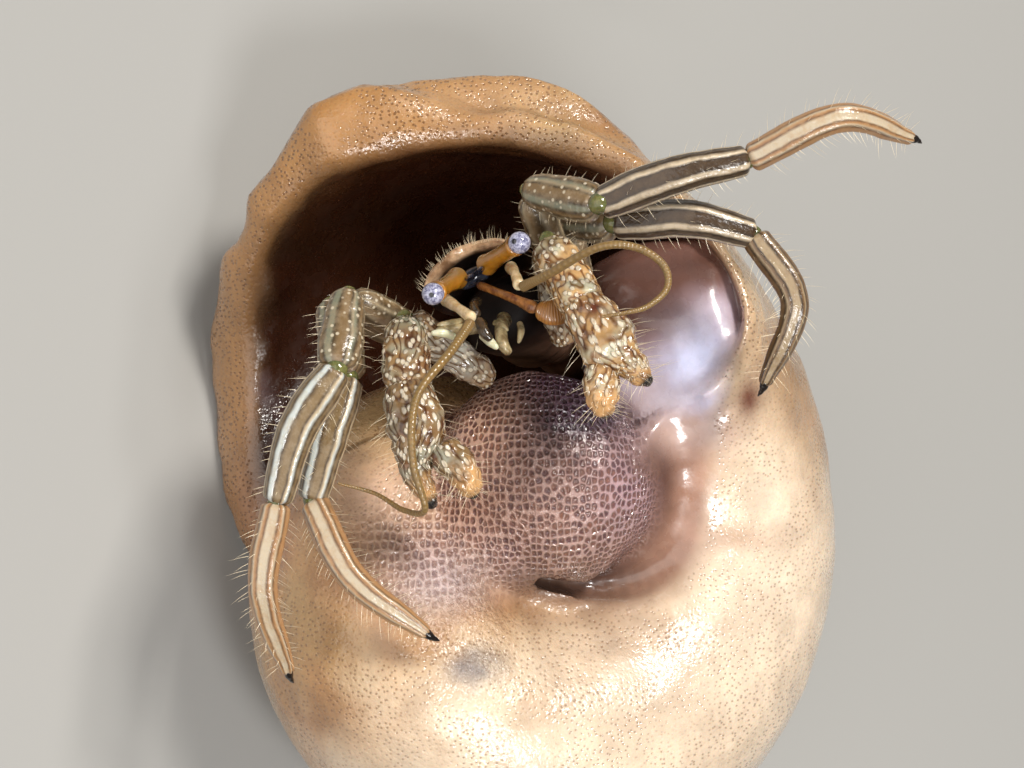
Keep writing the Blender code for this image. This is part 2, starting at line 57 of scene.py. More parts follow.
LIP_CRUST = (
    (-105, 0.3), (-88, 0.4), (-70, 0.5), (-54, 0.5), (-42, 0.7), (-33, 2.3), (-25, 3.8), (-17, 3.8),
    (-12.5, 2.0), (-8, 4.3), (-1, 4.5), (10, 3.8), (24, 3.2), (40, 2.9), (56, 4.2), (73, 4.7), (90, 4.0),
    (106, 3.2), (122, 1.5), (143, 0.2), (166, 0.0), (188, 0.0), (210, 0.0), (233, 0.1), (255, 0.3),
)
LIP_ROLL = (
    (-2.8, 0.22), (-2.6, 0.46), (-2.2, 0.69), (-1.6, 0.86), (-0.6, 0.97), (1.0, 1.0), (4.0, 0.97),
    (8.0, 0.82), (14.0, 0.45), (24.0, 0.15), (36.0, 0.03), (50.0, 0.0),
)


def rested(points):
    """Points of the crab's own frame, in millimetres, as places in the row frame, in metres."""
    return (np.asarray(points, float) @ np.array(REST_TURN).T + np.array(REST_PLACE)) * MM


def unrested(places):
    """Places in the row frame, in metres, as points of the crab's own frame, in millimetres."""
    return (places / MM - np.array(REST_PLACE)) @ np.array(REST_TURN)


def numbers(items, key, width=1, kind=float):
    """One property of many vertices, corners or faces, in rows of this width."""
    flat = np.empty(len(items) * width, kind)
    items.foreach_get(key, flat)
    return flat.reshape(-1, width) if width > 1 else flat


def select_only(obj):
    bpy.ops.object.select_all(action="DESELECT")
    bpy.context.view_layer.objects.active = obj
    obj.select_set(True)


def rolled(name, columns, rows, place):
    """A grid rolled up so that place(around, along) gives its points, with its seam and its poles merged."""
    bpy.ops.object.select_all(action="DESELECT")
    bpy.ops.mesh.primitive_grid_add(x_subdivisions=columns, y_subdivisions=rows, size=1.0)
    obj = bpy.context.active_object
    obj.name = name.replace(" ", "_")
    obj.data.name = name
    flat = numbers(obj.data.vertices, "co", 3)
    points = rested(place(flat[:, 0] + 0.5, flat[:, 1] + 0.5))
    obj.data.vertices.foreach_set("co", points.reshape(-1))
    bpy.ops.object.mode_set(mode="EDIT")
    bpy.ops.mesh.select_all(action="SELECT")
    bpy.ops.mesh.remove_doubles(threshold=MERGE)
    bpy.ops.mesh.normals_make_consistent(inside=False)
    bpy.ops.object.mode_set(mode="OBJECT")
    bpy.ops.object.shade_smooth()
    return obj


def unit(x):
    """x, held from 0 to 1."""
    return np.clip(x, 0.0, 1.0)


def bell(x, middle, spread):
    """1 at the middle, falling smoothly to 0, on a circle of 360 degrees."""
    away = (x - middle + 180.0) % 360.0 - 180.0
    return np.exp(-((away / spread) ** 2))


def shell_size(t):
    return SHELL_SIZE * np.exp(-math.log(WHORL_RATE) * np.radians(t) / math.tau)


def from_apex(turn, out, height):
    """Points at a turn round the shell's axis, this far out from it and this high along it."""
    local = np.stack([np.cos(turn) * out, np.sin(turn) * out, height], 1)
    return local @ np.array(SHELL_TURN).T + np.array(APEX)


def whorl(t, u, stand_out=0.0):
    """Points t degrees back from the lip and u degrees round the tube: 0 is outward, 90 toward the apex."""
    angle = np.radians(u)
    up = np.maximum(np.sin(angle), 0.0)
    down = np.minimum(np.sin(angle), 0.0)
    lead = 13.0 * up + np.where(up > 0, 62.0 * bell(u, 120.0, 30.0), 0.0) + 42.0 * down
    lead = lead - np.where(down < 0, 14.0 * bell(u, 262.0, 25.0) * np.exp(-np.maximum(t, 0.0) / 45.0), 0.0)
    size = shell_size(t)
    out = size * (TUBE_OUT + 0.49 * np.cos(angle)) + stand_out * np.cos(angle)
    height = size * (TUBE_UP + 0.494 * np.sin(angle)) + stand_out * np.sin(angle)
    return from_apex(np.radians(t - lead), out, height)


def capped(along, rows, place):
    """place(share) on every row but the first and last, which fall on the tube's own middle."""
    row = np.round(along * rows)
    t, points = place(unit((row - 1.0) / (rows - 2.0)))
    size = shell_size(t)
    at_pole = (row < 0.5) | (row > rows - 0.5)
    points[at_pole] = from_apex(np.radians(t), TUBE_OUT * size, TUBE_UP * size)[at_pole]
    return points


def lumps(points, size, octaves=2):
    """Smooth noise from -1 to 1 at each point, with swellings about this many millimetres across."""
    return np.array([noise.fractal(Vector(p) / size, 1.0, 2.0, octaves) for p in points])


def around_table(u, table):
    """The table's values at u, with the corners between them rounded."""
    places, values = zip(*table)
    steps = range(-8, 9, 2)
    return sum(np.interp((u + step + 105.0) % 360.0 - 105.0, places, values) for step in steps) / len(steps)


def top_fold(t, u):
    """The crust's share along the top of the lip, where a front roll lies before a higher ridge."""
    front = unit(1.3 * bell(u, -26.0, 12.0)) * unit((5.5 - t) / 4.0)
    ridge = unit(1.2 * bell(u, -20.0, 16.0)) * np.exp(-((t - 7.0) / 4.5) ** 2)
    return 1.0 - 0.56 * front + 0.24 * ridge


def last_whorl(around, along):
    u = 360.0 * around

    def place(share):
        t = np.interp(share, WHORL_SHARES, WHORL_DEGREES)
        bare = whorl(t, u)
        crust = np.interp(t, *zip(*LIP_ROLL)) * around_table(u, LIP_CRUST) * top_fold(t, u)
        near_lip = np.exp(-np.maximum(t, 0.0) / 16.0)
        on_lip = np.clip(around_table(u, LIP_CRUST), 0.0, 3.0) / 3.0
        swell = (0.12 + 0.65 * near_lip * on_lip) * lumps(bare, 3.8)
        crust = crust + swell + 0.14 * near_lip * lumps(bare, 1.2)
        crust = crust + 0.05 * lumps(bare, 1.6)
        return t, whorl(t, u, crust)

    return capped(along, WHORL_ROWS, place)


shell = rolled("shell", 190, WHORL_ROWS, last_whorl)

# ---------------------------------------------------------------- the hollow of the last whorl
# The crab's room. It is flush with the lip but for the fold of crust at the top, leaves a wall of about
# a millimetre further in, and is cut out of the last whorl.
HOLLOW_ROWS = 120
HOLLOW_SHARES = (0.0, 0.1, 0.3, 1.0)
HOLLOW_DEGREES = (-15.0, 2.0, 30.0, 275.0)
WALL = 1.25
# What a face of the shell was made as: the step by which its map is moved sideways.
CRUST, HOLLOW, CORE, GROOVE, GLAZE = range(5)


def join_to_shell(other, operation="UNION"):
    """Adds a closed piece to the shell or takes it away, and removes it."""
    select_only(shell)
    modifier = shell.modifiers.new(other.name, "BOOLEAN")
    modifier.operation = operation
    modifier.solver = "MANIFOLD"
    modifier.object = other
    bpy.ops.object.modifier_apply(modifier=modifier.name)
    bpy.data.objects.remove(other, do_unlink=True)


def shift_map(obj, step):
    """Moves the piece's map sideways by a whole step, so that its faces can be told apart after a join."""
    layer = obj.data.uv_layers.active
    values = numbers(layer.uv, "vector", 2, np.float32)
    values[:, 0] = values[:, 0] * 0.9 + 0.05 + step
    layer.uv.foreach_set("vector", values.reshape(-1))


def hollow_place(around, along):
    u = 360.0 * around

    def place(share):
        t = np.interp(share, HOLLOW_SHARES, HOLLOW_DEGREES)
        leave = unit((t + 2.0) / 20.0)
        wall = np.maximum(WALL * leave, 1.2 * bell(u, 322.0, 30.0))
        pillar = 2.4 * bell(u, 225.0, 34.0) * unit((t + 2.0) / 14.0)
        depth = 0.12 - (wall + pillar) * (shell_size(t) / SHELL_SIZE) ** 0.4
        inward = np.interp(t, [-2.2, 1.0, 5.0, 10.0, 16.0, 60.0], [0.0, 0.8, 1.8, 2.4, 2.6, 1.0])
        depth = depth - inward * bell(u, 250.0, 40.0)
        bare = whorl(t, u)
        waves = unit(lumps(bare, 3.6) + 0.15) * (1.0 - bell(u, 240.0, 60.0))
        depth = depth - 0.9 * np.exp(-((t / 4.0) ** 2)) * waves
        ripple = unit((t + 1.0) / 6.0)
        depth = depth - 0.10 * ripple * np.abs(lumps(bare, 4.0)) - 0.25 * ripple * bell(u, 322.0, 40.0)
        return t, whorl(t, u, depth)

    return capped(along, HOLLOW_ROWS, place)


shift_map(shell, CRUST)
hollow = rolled("hollow", 120, HOLLOW_ROWS, hollow_place)
shift_map(hollow, HOLLOW)
join_to_shell(hollow, "DIFFERENCE")

# ---------------------------------------------------------------- the spire, core and callus of the shell
# The older whorls wind down to the tip behind the last one, round a solid core. The callus is the round
# swelling beside the navel that a moon snail grows, here under the sea-mat too.
CALLUS = Vector((1.8, 4.2, -5.5))
CALLUS_TURN = Euler((0, math.radians(20), 0)).to_matrix()
UNTURNED = Matrix.Identity(3)


def inner_whorl(name, start, stop, columns, rows):
    def placed(around, along):
        u = 360.0 * around

        def place(share):
            t = start + (stop - start) * share
            return t, whorl(t, u, -0.03 + 0.06 * lumps(whorl(t, u), 2.4))

        return capped(along, rows, place)

    return rolled(name, columns, rows, placed)


def ball(name, middle, radii, columns, rows, turn=UNTURNED, roughness=0.0, power=1.0):
    """A ball or egg; a power under 1 squares its outline."""

    def placed(around, along):
        side = 2.0 * math.pi * around
        rise = np.pi * (along - 0.5)
        local = np.stack([np.cos(side) * np.cos(rise), np.sin(side) * np.cos(rise), np.sin(rise)], 1)
        local = np.sign(local) * np.abs(local) ** power * np.array(radii)
        points = local @ np.array(turn).T + np.array(middle)
        if roughness:
            outward = (points - np.array(middle)) / max(radii)
            points = points + outward * (roughness * lumps(points, 2.6))[:, None]
        return points

    return rolled(name, columns, rows, placed)


def add_to_shell(piece, step=CORE):
    shift_map(piece, step)
    join_to_shell(piece)


add_to_shell(inner_whorl("second whorl", 280.0, 580.0, 100, 110))
add_to_shell(inner_whorl("third whorl", 560.0, 860.0, 64, 70))
add_to_shell(inner_whorl("fourth whorl", 840.0, 1120.0, 40, 46))
add_to_shell(ball("tip", APEX + SHELL_TURN @ Vector((0, 0, -1.75)), (1.6, 1.6, 1.6), 24, 14))
add_to_shell(ball("core", APEX + SHELL_TURN @ Vector((0, 0, -11.8)), (4.2, 4.2, 9.7), 48, 40, SHELL_TURN))
add_to_shell(ball("callus", CALLUS, (6.4, 5.0, 6.1), 90, 60, CALLUS_TURN, 0.25))

# ---------------------------------------------------------------- the inner lip and the navel's channel
# A glazed swelling of bare shell closes the lower corner of the mouth. Beside the callus a smooth channel
# runs round from the mouth and ends in a narrow slit, the snail's navel. Both are joined or cut here, and
# the seams are eased.
INNER_LIP_TURN = Euler((math.radians(-8.0), math.radians(-10.0), math.radians(-16.0))).to_matrix()
TO_VIEWER = Vector((0.0, -1.0, 0.0))
add_to_shell(ball("foot of the callus", (-1.6, 5.2, -8.9), (5.8, 4.9, 4.0), 80, 50, roughness=0.25))
add_to_shell(ball("inner lip", (9.75, 8.3, 1.7), (5.3, 4.7, 6.8), 90, 70, INNER_LIP_TURN, 0.3, 0.62), GLAZE)


def curve_point(points, f):
    """A smooth curve through the points, with f from 0 to 1."""
    place = f * (len(points) - 1)
    i = min(int(place), len(points) - 2)
    t = place - i
    b, c = points[i], points[i + 1]
    a = points[i - 1] if i else b * 2 - c
    d = points[i + 2] if i + 2 < len(points) else c * 2 - b
    return 0.5 * (
        b * 2 + (c - a) * t + (a * 2 - b * 5 + c * 4 - d) * t ** 2 + (b * 3 - a - c * 3 + d) * t ** 3
    )


def smooth_mix(values, f):
    place = f * (len(values) - 1)
    i = min(int(place), len(values) - 2)
    t = place - i
    t = t * t * (3.0 - 2.0 * t)
    return values[i] + (values[i + 1] - values[i]) * t


class Limb:
    """A tapering part along points: where its surface is, and which way it faces."""

    def __init__(self, points, widths, depths, facing=TO_VIEWER, ends=(0.06, 0.06), squareness=0.0):
        self.points = [Vector(p) for p in points]
        self.widths = widths
        self.depths = depths
        self.facing = Vector(facing)
        self.ends = ends
        self.squareness = squareness

    def at(self, f, turn):
        """The point, the outward way and the way along, at f from 0 to 1 and turn in radians."""
        centre = curve_point(self.points, f)
        after = curve_point(self.points, min(f + 0.02, 1.0))
        along = (after - curve_point(self.points, max(f - 0.02, 0.0))).normalized()
        deep = (self.facing - along * self.facing.dot(along)).normalized()
        wide = along.cross(deep)
        close = 1.0
        if f < self.ends[0]:
            close = math.sqrt(max(1.0 - (1.0 - f / self.ends[0]) ** 2, 0.0))
        if 1.0 - f < self.ends[1]:
            close = min(close, math.sqrt(max(1.0 - (1.0 - (1.0 - f) / self.ends[1]) ** 2, 0.0)))
        c, s = math.cos(turn), math.sin(turn)
        square = 1.0 + self.squareness * (c * s) ** 2 * 4.0
        w = smooth_mix(self.widths, f) * 0.5 * close * square
        d = smooth_mix(self.depths, f) * 0.5 * close * square
        offset = wide * (c * w) + deep * (s * d)
        outward = (wide * (c * d + 1e-6) + deep * (s * w)).normalized()
        return centre + offset, outward, along

    def roll(self, name, columns, rows, shape=None):
        """The part as a mesh. shape(f, turn, point) gives how far its surface stands out, in millimetres."""

        def placed(around, along):
            points = []
            for a, f in zip(around, along):
                # Rows lie closer together toward the rounded ends.
                f = 0.5 - 0.5 * math.cos(math.pi * (0.12 + 0.76 * f)) / math.cos(math.pi * 0.12)
                f = min(max(f, 0.0), 1.0)
                turn = math.tau * (a % 1.0)
                point, outward, _ = self.at(f, turn)
                if shape is not None and 0.0 < f < 1.0:
                    point = point + outward * shape(f, turn, point)
                points.append(point)
            return np.array([tuple(p) for p in points])

        return rolled(name, columns, rows, placed)


CHANNEL_PATH = [Vector(p) for p in (
    (0.3, 3.0, -10.8), (2.6, 3.6, -11.5), (5.2, 4.3, -11.75), (7.8, 4.2, -11.1), (9.6, 3.8, -9.4),
    (10.3, 3.3, -6.9), (10.2, 2.3, -4.7), (9.9, 1.1, -2.5), (10.7, 0.9, -0.3),
)]
CHANNEL_WIDTHS = [0.5, 1.1, 1.8, 2.4, 2.9, 3.3, 4.0, 5.2, 5.0]
CHANNEL_DEPTHS = [1.7, 2.6, 3.0, 2.8, 2.2, 2.2, 3.2, 4.8, 4.6]
channel = Limb(CHANNEL_PATH, CHANNEL_WIDTHS, CHANNEL_DEPTHS, ends=(0.05, 0.12)).roll("channel", 60, 150)
shift_map(channel, GROOVE)
join_to_shell(channel, "DIFFERENCE")
SEAM_REACH = 3.0


def seam_distance(lip_only=False):
    """How far each vertex is from where two joined surfaces, or only crust and hollow, meet."""
    index = numbers(shell.data.loops, "vertex_index", kind=np.int32)
    kind = np.floor(numbers(shell.data.uv_layers.active.uv, "vector", 2, np.float32)[:, 0] + 0.02)
    total = len(shell.data.vertices)
    count = np.maximum(np.bincount(index, minlength=total), 1)
    mean = np.bincount(index, kind, total) / count
    on_seam = np.bincount(index, kind ** 2, total) / count - mean ** 2 > 0.01
    if lip_only:
        on_seam &= np.bincount(index, (kind > HOLLOW) * 1.0, total) == 0
    seams = np.flatnonzero(on_seam)
    own = unrested(numbers(shell.data.vertices, "co", 3))
    tree = kdtree.KDTree(len(seams))
    for i in seams:
        tree.insert(own[i], int(i))
    tree.balance()
    away = np.full(total, SEAM_REACH)
    for i in np.flatnonzero(own[:, 1] < 16.0):
        away[i] = min(tree.find(own[i])[2], SEAM_REACH)
    return away, own, index, count


def ease_where(chosen, times, merge=0.0):
    """Smooths the shell at the chosen vertices, after merging those closer than merge, in millimetres."""
    select_only(shell)
    bpy.ops.object.mode_set(mode="EDIT")
    bpy.ops.mesh.select_all(action="DESELECT")
    bpy.ops.object.mode_set(mode="OBJECT")
    shell.data.vertices.foreach_set("select", chosen)
    bpy.ops.object.mode_set(mode="EDIT")
    bpy.ops.mesh.select_mode(type="VERT")
    if merge:
        bpy.ops.mesh.remove_doubles(threshold=merge * MM)
    bpy.ops.mesh.vertices_smooth(factor=0.5, repeat=times)
    bpy.ops.object.mode_set(mode="OBJECT")


def ease(places, reach, times, merge=0.0):
    """Smooths the shell within reach of each place in turn."""
    for place in places:
        own = unrested(numbers(shell.data.vertices, "co", 3))
        ease_where(np.linalg.norm(own - np.array(place), axis=1) < reach, times, merge)


away, own, _, _ = seam_distance()
away_lip = seam_distance(lip_only=True)[0]
above_callus = (own[:, 2] > 2.5) | (own[:, 0] < 4.0)
ease_where((away_lip < 0.75) & (away_lip < away + 0.01) & above_callus, 14)
SLIT_SHARES = (0.04, 0.10, 0.16, 0.22, 0.28)
BEND_SHARES = (0.36, 0.43, 0.5, 0.57, 0.64, 0.71, 0.78, 0.85, 0.92, 0.99)
ease([(-3.6, 1.0, -8.0)], 3.4, 24)
ease([(-1.5, 1.0, -11.4)], 2.4, 24)
ease([curve_point(CHANNEL_PATH, f) for f in SLIT_SHARES], 1.5, 5, 0.08)
ease([(0.6, 3.4, -12.0), (2.2, 3.8, -12.6), (4.0, 4.4, -13.0)], 1.3, 10)
ease([curve_point(CHANNEL_PATH, f) for f in BEND_SHARES], 3.1, 16, 0.10)
ease([
    (12.9, 2.6, 1.2), (12.6, 2.2, 0.0), (8.2, 1.6, -1.0),
    (7.4, 1.4, -3.2), (7.4, 2.0, -4.6), (12.9, 2.8, 2.6),
], 1.7, 20)
ease([(3.6, 1.8, -11.3), (5.2, 2.2, -11.0), (6.6, 2.5, -10.1), (7.7, 2.6, -8.8), (8.4, 2.8, -7.2)], 1.1, 8)
ease([(11.55, 2.95, -1.9)], 0.75, 14, 0.32)

# ---------------------------------------------------------------- the colours of the shell
# The sea-mat is tan over the lip and cream low on the whorl, purple-brown with a pale net on the callus,
# and worn through to lilac-white shell beside it. The hollow is maroon-brown under painted shade that
# darkens it to near-black, and painted light and shade lie on some patches below. Wet all over.
TAN = (0.38, 0.200, 0.087)
RIM = (0.40, 0.205, 0.072)
LIGHT_TAN = (0.56, 0.365, 0.172)
CREAM = (0.76, 0.62, 0.47)
PURPLE = (0.31, 0.195, 0.165)
SHADED_MAROON = (0.030, 0.009, 0.004)
CHANNEL = (0.36, 0.19, 0.12)
SLIT_SHADE = (0.050, 0.025, 0.018)
PORCELAIN = (0.44, 0.36, 0.42)
FLESH_PINK = (0.46, 0.26, 0.185)


def blob(points, middle, reach):
    """1 near the middle, falling smoothly to 0 at about twice the reach."""
    away = (points - np.array(middle)) / np.array(reach)
    return np.exp(-np.sum(away ** 2, axis=1))


def layered(colours, *layers):
    """Colours with each (share, colour) laid over them in turn."""
    for share, colour in layers:
        colours = colours + (np.asarray(colour) - colours) * unit(share)[:, None]
    return colours


def all_over(colour, count):
    return np.tile(np.array(colour), (count, 1))


def paint(obj, name, values):
    """Stores a colour, or a grey from one number, for each corner of the mesh."""
    values = np.column_stack([values] * 3) if np.ndim(values) == 1 else values
    layer = obj.data.color_attributes.new(name, "FLOAT_COLOR", "CORNER")
    with_alpha = np.column_stack([values, np.ones(len(values))]).astype(np.float32)
    layer.data.foreach_set("color", with_alpha.reshape(-1))


def corner_points(obj):
    """Each corner's place in the crab's own frame, in millimetres, and its map coordinates."""
    index = numbers(obj.data.loops, "vertex_index", kind=np.int32)
    places = numbers(obj.data.vertices, "co", 3)[index]
    return unrested(places), numbers(obj.data.uv_layers.active.uv, "vector", 2, np.float32)


points, where = corner_points(shell)
kind = np.floor(where[:, 0] + 0.02)
share = unit((where[:, 1] * WHORL_ROWS - 1.0) / (WHORL_ROWS - 2.0))
t_out = np.interp(share, WHORL_SHARES, WHORL_DEGREES)
share = unit((where[:, 1] * HOLLOW_ROWS - 1.0) / (HOLLOW_ROWS - 2.0))
t_in = np.interp(share, HOLLOW_SHARES, HOLLOW_DEGREES)
u = 360.0 * ((where[:, 0] % 1.0) - 0.05) / 0.9
mottle = lumps(points, 4.5, 3)
fine = lumps(points, 1.3)
x, y, z = points.T
front = unit((14.0 - y) / 8.0)
low = unit((-z - 9.5 + 0.45 * (x - 4.0) + 3.5 * mottle) / 8.0)
lip = np.where(kind == CRUST, np.exp(-np.maximum(t_out, 0.0) / 12.0), 0.0)
colours = layered(
    all_over(TAN, len(points)),
    (0.45 + 0.8 * mottle, LIGHT_TAN),
    (low * 0.95, CREAM),
    (blob(points, (15.0, 2.0, -7.0), (4.5, 9.0, 8.0)), (0.84, 0.70, 0.55)),
    # painted shade: the low front is darkened where the key lamp's highlight falls strongest
    (0.6 * blob(points, (8.0, -2.0, -15.5), (5.0, 9.0, 4.0)), (0.52, 0.41, 0.32)),
    (0.8 * blob(points, (12.8, 2.0, 3.0), (2.6, 9.0, 5.0)) * (0.9 + mottle), (0.88, 0.68, 0.46)),
    (0.9 * blob(points, (17.0, 6.0, 2.6), (2.6, 9.0, 5.0)), (0.27, 0.135, 0.045)),
    (0.55 * blob(points, (12.5, 3.0, -9.0), (3.2, 5.0, 0.8)), CHANNEL),
    (lip * unit((z + 16.0) / 5.0) * unit((3.0 - x) / 5.0), RIM),
    # painted highlight: cream along the top of the lip
    (blob(points, (-0.8, 0.0, 17.2), (4.6, 5.0, 1.5)), (0.84, 0.70, 0.52)),
    # partly the rim's own mauve, partly painted light lifting the shaded lower-left rim
    (0.8 * blob(points, (-15.8, 2.0, -7.5), (2.4, 9.0, 4.0)), (0.60, 0.28, 0.24)),
    (0.9 * blob(points, (-6.2, 0.0, 17.4), (0.9, 3.0, 0.9)), CREAM),
)
deep = unit((t_in + 1.2) / 3.0)
low_wall = bell(u, 262.0, 40.0) * unit((60.0 - t_in) / 30.0)
glaze = bell(u, 246.0, 25.0) * unit((26.0 - t_in) / 12.0)
# Painted reflection: a bluish-white band on the glazed lower wall inside the mouth.
painted_gleam = 2.0 * bell(u, 252.0, 19.0) * np.exp(-((t_in - 4.5) / 5.5) ** 2)
edge_line = unit((t_in + 3.4) / 1.0) * unit((0.6 - t_in) / 1.6)
# Painted shade: the lining is darkened toward near-black at the lip and deeper in, with the shell's own
# browns and lilac laid over it.
lining = layered(
    colours,
    (0.80 + 0.20 * deep, (0.035, 0.014, 0.008)),
    (deep, SHADED_MAROON),
    (0.8 * bell(u, 335.0, 38.0) * unit((7.0 - t_in) / 5.0), (0.11, 0.042, 0.014)),
    (2.2 * low_wall, (0.30, 0.13, 0.075)),
    (2.4 * glaze - 0.35 + 0.5 * mottle, (0.46, 0.36, 0.40)),
    (painted_gleam - 0.2, (0.70, 0.67, 0.84)),
    (blob(points, (7.6, 5.0, -1.8), (1.7, 9.0, 1.8)) * (0.9 + 1.4 * mottle), (0.36, 0.19, 0.11)),
    (edge_line * bell(u, 268.0, 34.0), (0.30, 0.12, 0.065)),
    # painted shade: a near-black patch on the left wall of the hollow
    (0.8 * blob(points, (-12.8, 6.0, 2.4), (2.4, 6.0, 4.6)), (0.010, 0.006, 0.007)),
)
glazed = layered(
    all_over(PORCELAIN, len(points)),
    # painted reflection: the bluish-white sheen on the glazed inner lip
    (1.7 * blob(points, (10.9, 4.0, -0.1), (2.1, 9.0, 2.7)), (0.66, 0.69, 0.95)),
    (blob(points, (8.2, 4.0, -1.8), (1.7, 9.0, 1.8)) * (0.9 + 1.5 * mottle), (0.38, 0.21, 0.12)),
    (unit((z - 2.4 - 0.5 * (x - 9.0) + 1.2 * mottle) / 2.4), (0.19, 0.092, 0.070)),
    (unit((7.0 - x) / 2.0) * unit((z - 0.5) / 2.0), (0.07, 0.030, 0.022)),
)
above_channel = unit((z + 3.3) / 1.7)
colours = layered(colours, (np.select([kind == GLAZE, kind == GROOVE], [1.0, above_channel], 0.0), glazed))
inside = kind == HOLLOW
colours[inside] = lining[inside]
callus_away = np.linalg.norm((points - np.array(CALLUS)) / np.array((6.9, 6.0, 6.6)), axis=1)
callus = np.exp(-(np.maximum(callus_away - 0.96, 0.0) / 0.11) ** 2)
callus = callus * np.where(kind == CORE, 1.0, unit((1.5 - x) / 2.5))
spread = blob(points, (-3.4, -1.0, -9.4), (4.6, 5.0, 2.5)) * (0.9 + 0.5 * mottle)
purple = unit(np.maximum(callus, spread * 1.1)) * ((kind == CRUST) | (kind == CORE)) * front
grey_spot = blob(points, (-1.8, -3.0, -15.4), (1.5, 3.0, 1.1)) * (0.9 + 0.6 * fine)
colours = layered(
    colours,
    (1.1 * blob(points, (13.7, 3.0, -0.9), (0.8, 3.0, 1.1)), (0.15, 0.055, 0.032)),
    (np.where(inside, 0.0, 0.8) * blob(points, (-7.2, 0.0, -6.2), (2.6, 8.0, 2.4)), (0.78, 0.55, 0.41)),
    (purple * 0.95, PURPLE),
    # painted shadow of the left pincer across the top of the callus
    (blob(points, (3.6, 0.0, -0.8), (4.4, 9.0, 2.6)) * purple * 1.6, (0.030, 0.013, 0.022)),
    (blob(points, (7.2, 0.0, -6.2), (2.6, 9.0, 3.4)) * purple * 0.6, (0.36, 0.24, 0.29)),
    (blob(points, (-2.4, 0.0, -6.5), (2.4, 9.0, 3.0)) * purple * 0.7, (0.40, 0.22, 0.14)),
    # painted light: the left of the callus lightened where the pincer's own shadow falls
    (blob(points, (-2.0, 0.0, -2.2), (2.2, 9.0, 2.2)) * purple * 0.9, (0.60, 0.36, 0.25)),
    (blob(points, (-3.9, 0.0, -10.9), (3.0, 9.0, 1.8)) * 0.6, (0.58, 0.49, 0.50)),
    (grey_spot, (0.15, 0.145, 0.165)),
)
path = np.array([tuple(curve_point(CHANNEL_PATH, f)) for f in np.linspace(0.0, 1.0, 60)])[::2]
gap = np.linalg.norm((points[:, None, :] - path[None, :, :]) * np.array((1.0, 0.45, 1.0)), axis=2)
nearest = np.argmin(gap, axis=1) / (len(path) - 1.0)
gap = gap.min(axis=1)
beside = np.exp(-(np.maximum(gap - 0.7, 0.0) / 0.8) ** 2) * (1.0 - callus * (kind != GROOVE))
beside = np.where(inside, 0.0, beside)
flesh_pink = layered(
    all_over(FLESH_PINK, len(points)),
    (0.4 + mottle, (0.33, 0.175, 0.12)),
    (unit((nearest - 0.80) / 0.15), (0.44, 0.33, 0.34)),
    # painted shade: soft tan-brown along the channel's narrow end near the slit
    (unit((0.42 - nearest) / 0.14), (0.32, 0.18, 0.12)),
)
# Painted shade in the crease where the channel and whorl meet the callus, darkest right at its edge.
shade_by_callus = np.exp(-(np.maximum(callus_away - 1.0, 0.0) / 0.20) ** 2) * unit((x - 2.0) / 3.0)
shade_by_callus = shade_by_callus * unit((0.2 - z) / 3.0) * ((kind == CRUST) | (kind >= GROOVE))
joined = blob(points, (10.4, 2.5, -2.7), (2.6, 4.0, 1.3)) * unit(1.3 - callus * 2.0)
# The navel's slit and its edges are painted dark brown as the shade inside the crevice.
slit_shade = np.exp(-((gap / 0.85) ** 2)) * unit((0.50 - nearest) / 0.22) * front
colours = layered(
    colours,
    (beside * np.where(kind >= GROOVE, 0.95 * (1.0 - above_channel), 0.9), flesh_pink),
    (shade_by_callus * 0.95, (0.21, 0.105, 0.075)),
    (shade_by_callus ** 4 * 0.8, (0.09, 0.04, 0.032)),
    (1.2 * joined, (0.46, 0.32, 0.28)),
    (1.1 * slit_shade, SLIT_SHADE),
)
purple = purple * (1.0 - unit(1.4 * slit_shade))


def run_together(values, weights, index, count, times):
    """Lets values at the shell's corners run into each other over the seams."""
    one, two = numbers(shell.data.edges, "vertices", 2, np.int32).T
    total = len(shell.data.vertices)
    degree = np.maximum(np.bincount(one, minlength=total) + np.bincount(two, minlength=total), 1)
    held = np.column_stack([np.bincount(index, column, total) / count for column in values.T])
    for _ in range(times):
        around = [np.bincount(one, c[two], total) + np.bincount(two, c[one], total) for c in held.T]
        held = held + weights[:, None] * (np.column_stack(around) / degree[:, None] - held)
    return values + (held[index] - values) * unit(1.6 * weights[index])[:, None]


away, _, index, count = seam_distance()
weights = np.exp(-((away / 0.55) ** 2))
blended = run_together(np.column_stack([colours, purple]), weights, index, count, 30)
colours, purple = blended[:, :3], blended[:, 3]
pits = np.select([inside, kind >= GROOVE], [0.4 * (1.0 - deep), 0.0], 1.0) * (1.0 - purple) * (1.0 - beside)
pits = pits * np.clip(0.75 + 1.2 * lumps(points, 3.0), 0.15, 1.0)
pits = pits * (1.0 + 1.1 * lip * unit(around_table(u, LIP_CRUST)))
wet = unit(
    blob(points, (-2.5, 0.0, -11.0), (3.6, 6.0, 2.6))
    + blob(points, (0.8, 0.0, -6.0), (2.6, 6.0, 3.0))
)
smooth = unit(1.3 * np.exp(-(np.maximum(gap - 1.4, 0.0) / 1.2) ** 2) - purple)
film = 0.15 + 0.85 * np.maximum(wet, unit(grey_spot))
film = film * (1.0 - 0.85 * np.maximum(smooth, (kind >= GROOVE) * 1.0))
paint(shell, "tint", unit(colours))
paint(shell, "mat", np.column_stack([purple, pits, film]))


def add_map(obj, name, values):
    """A second map of the piece, in millimetres over its surface."""
    layer = obj.data.uv_layers.new(name=name)
    layer.uv.foreach_set("vector", np.asarray(values, np.float32).reshape(-1))


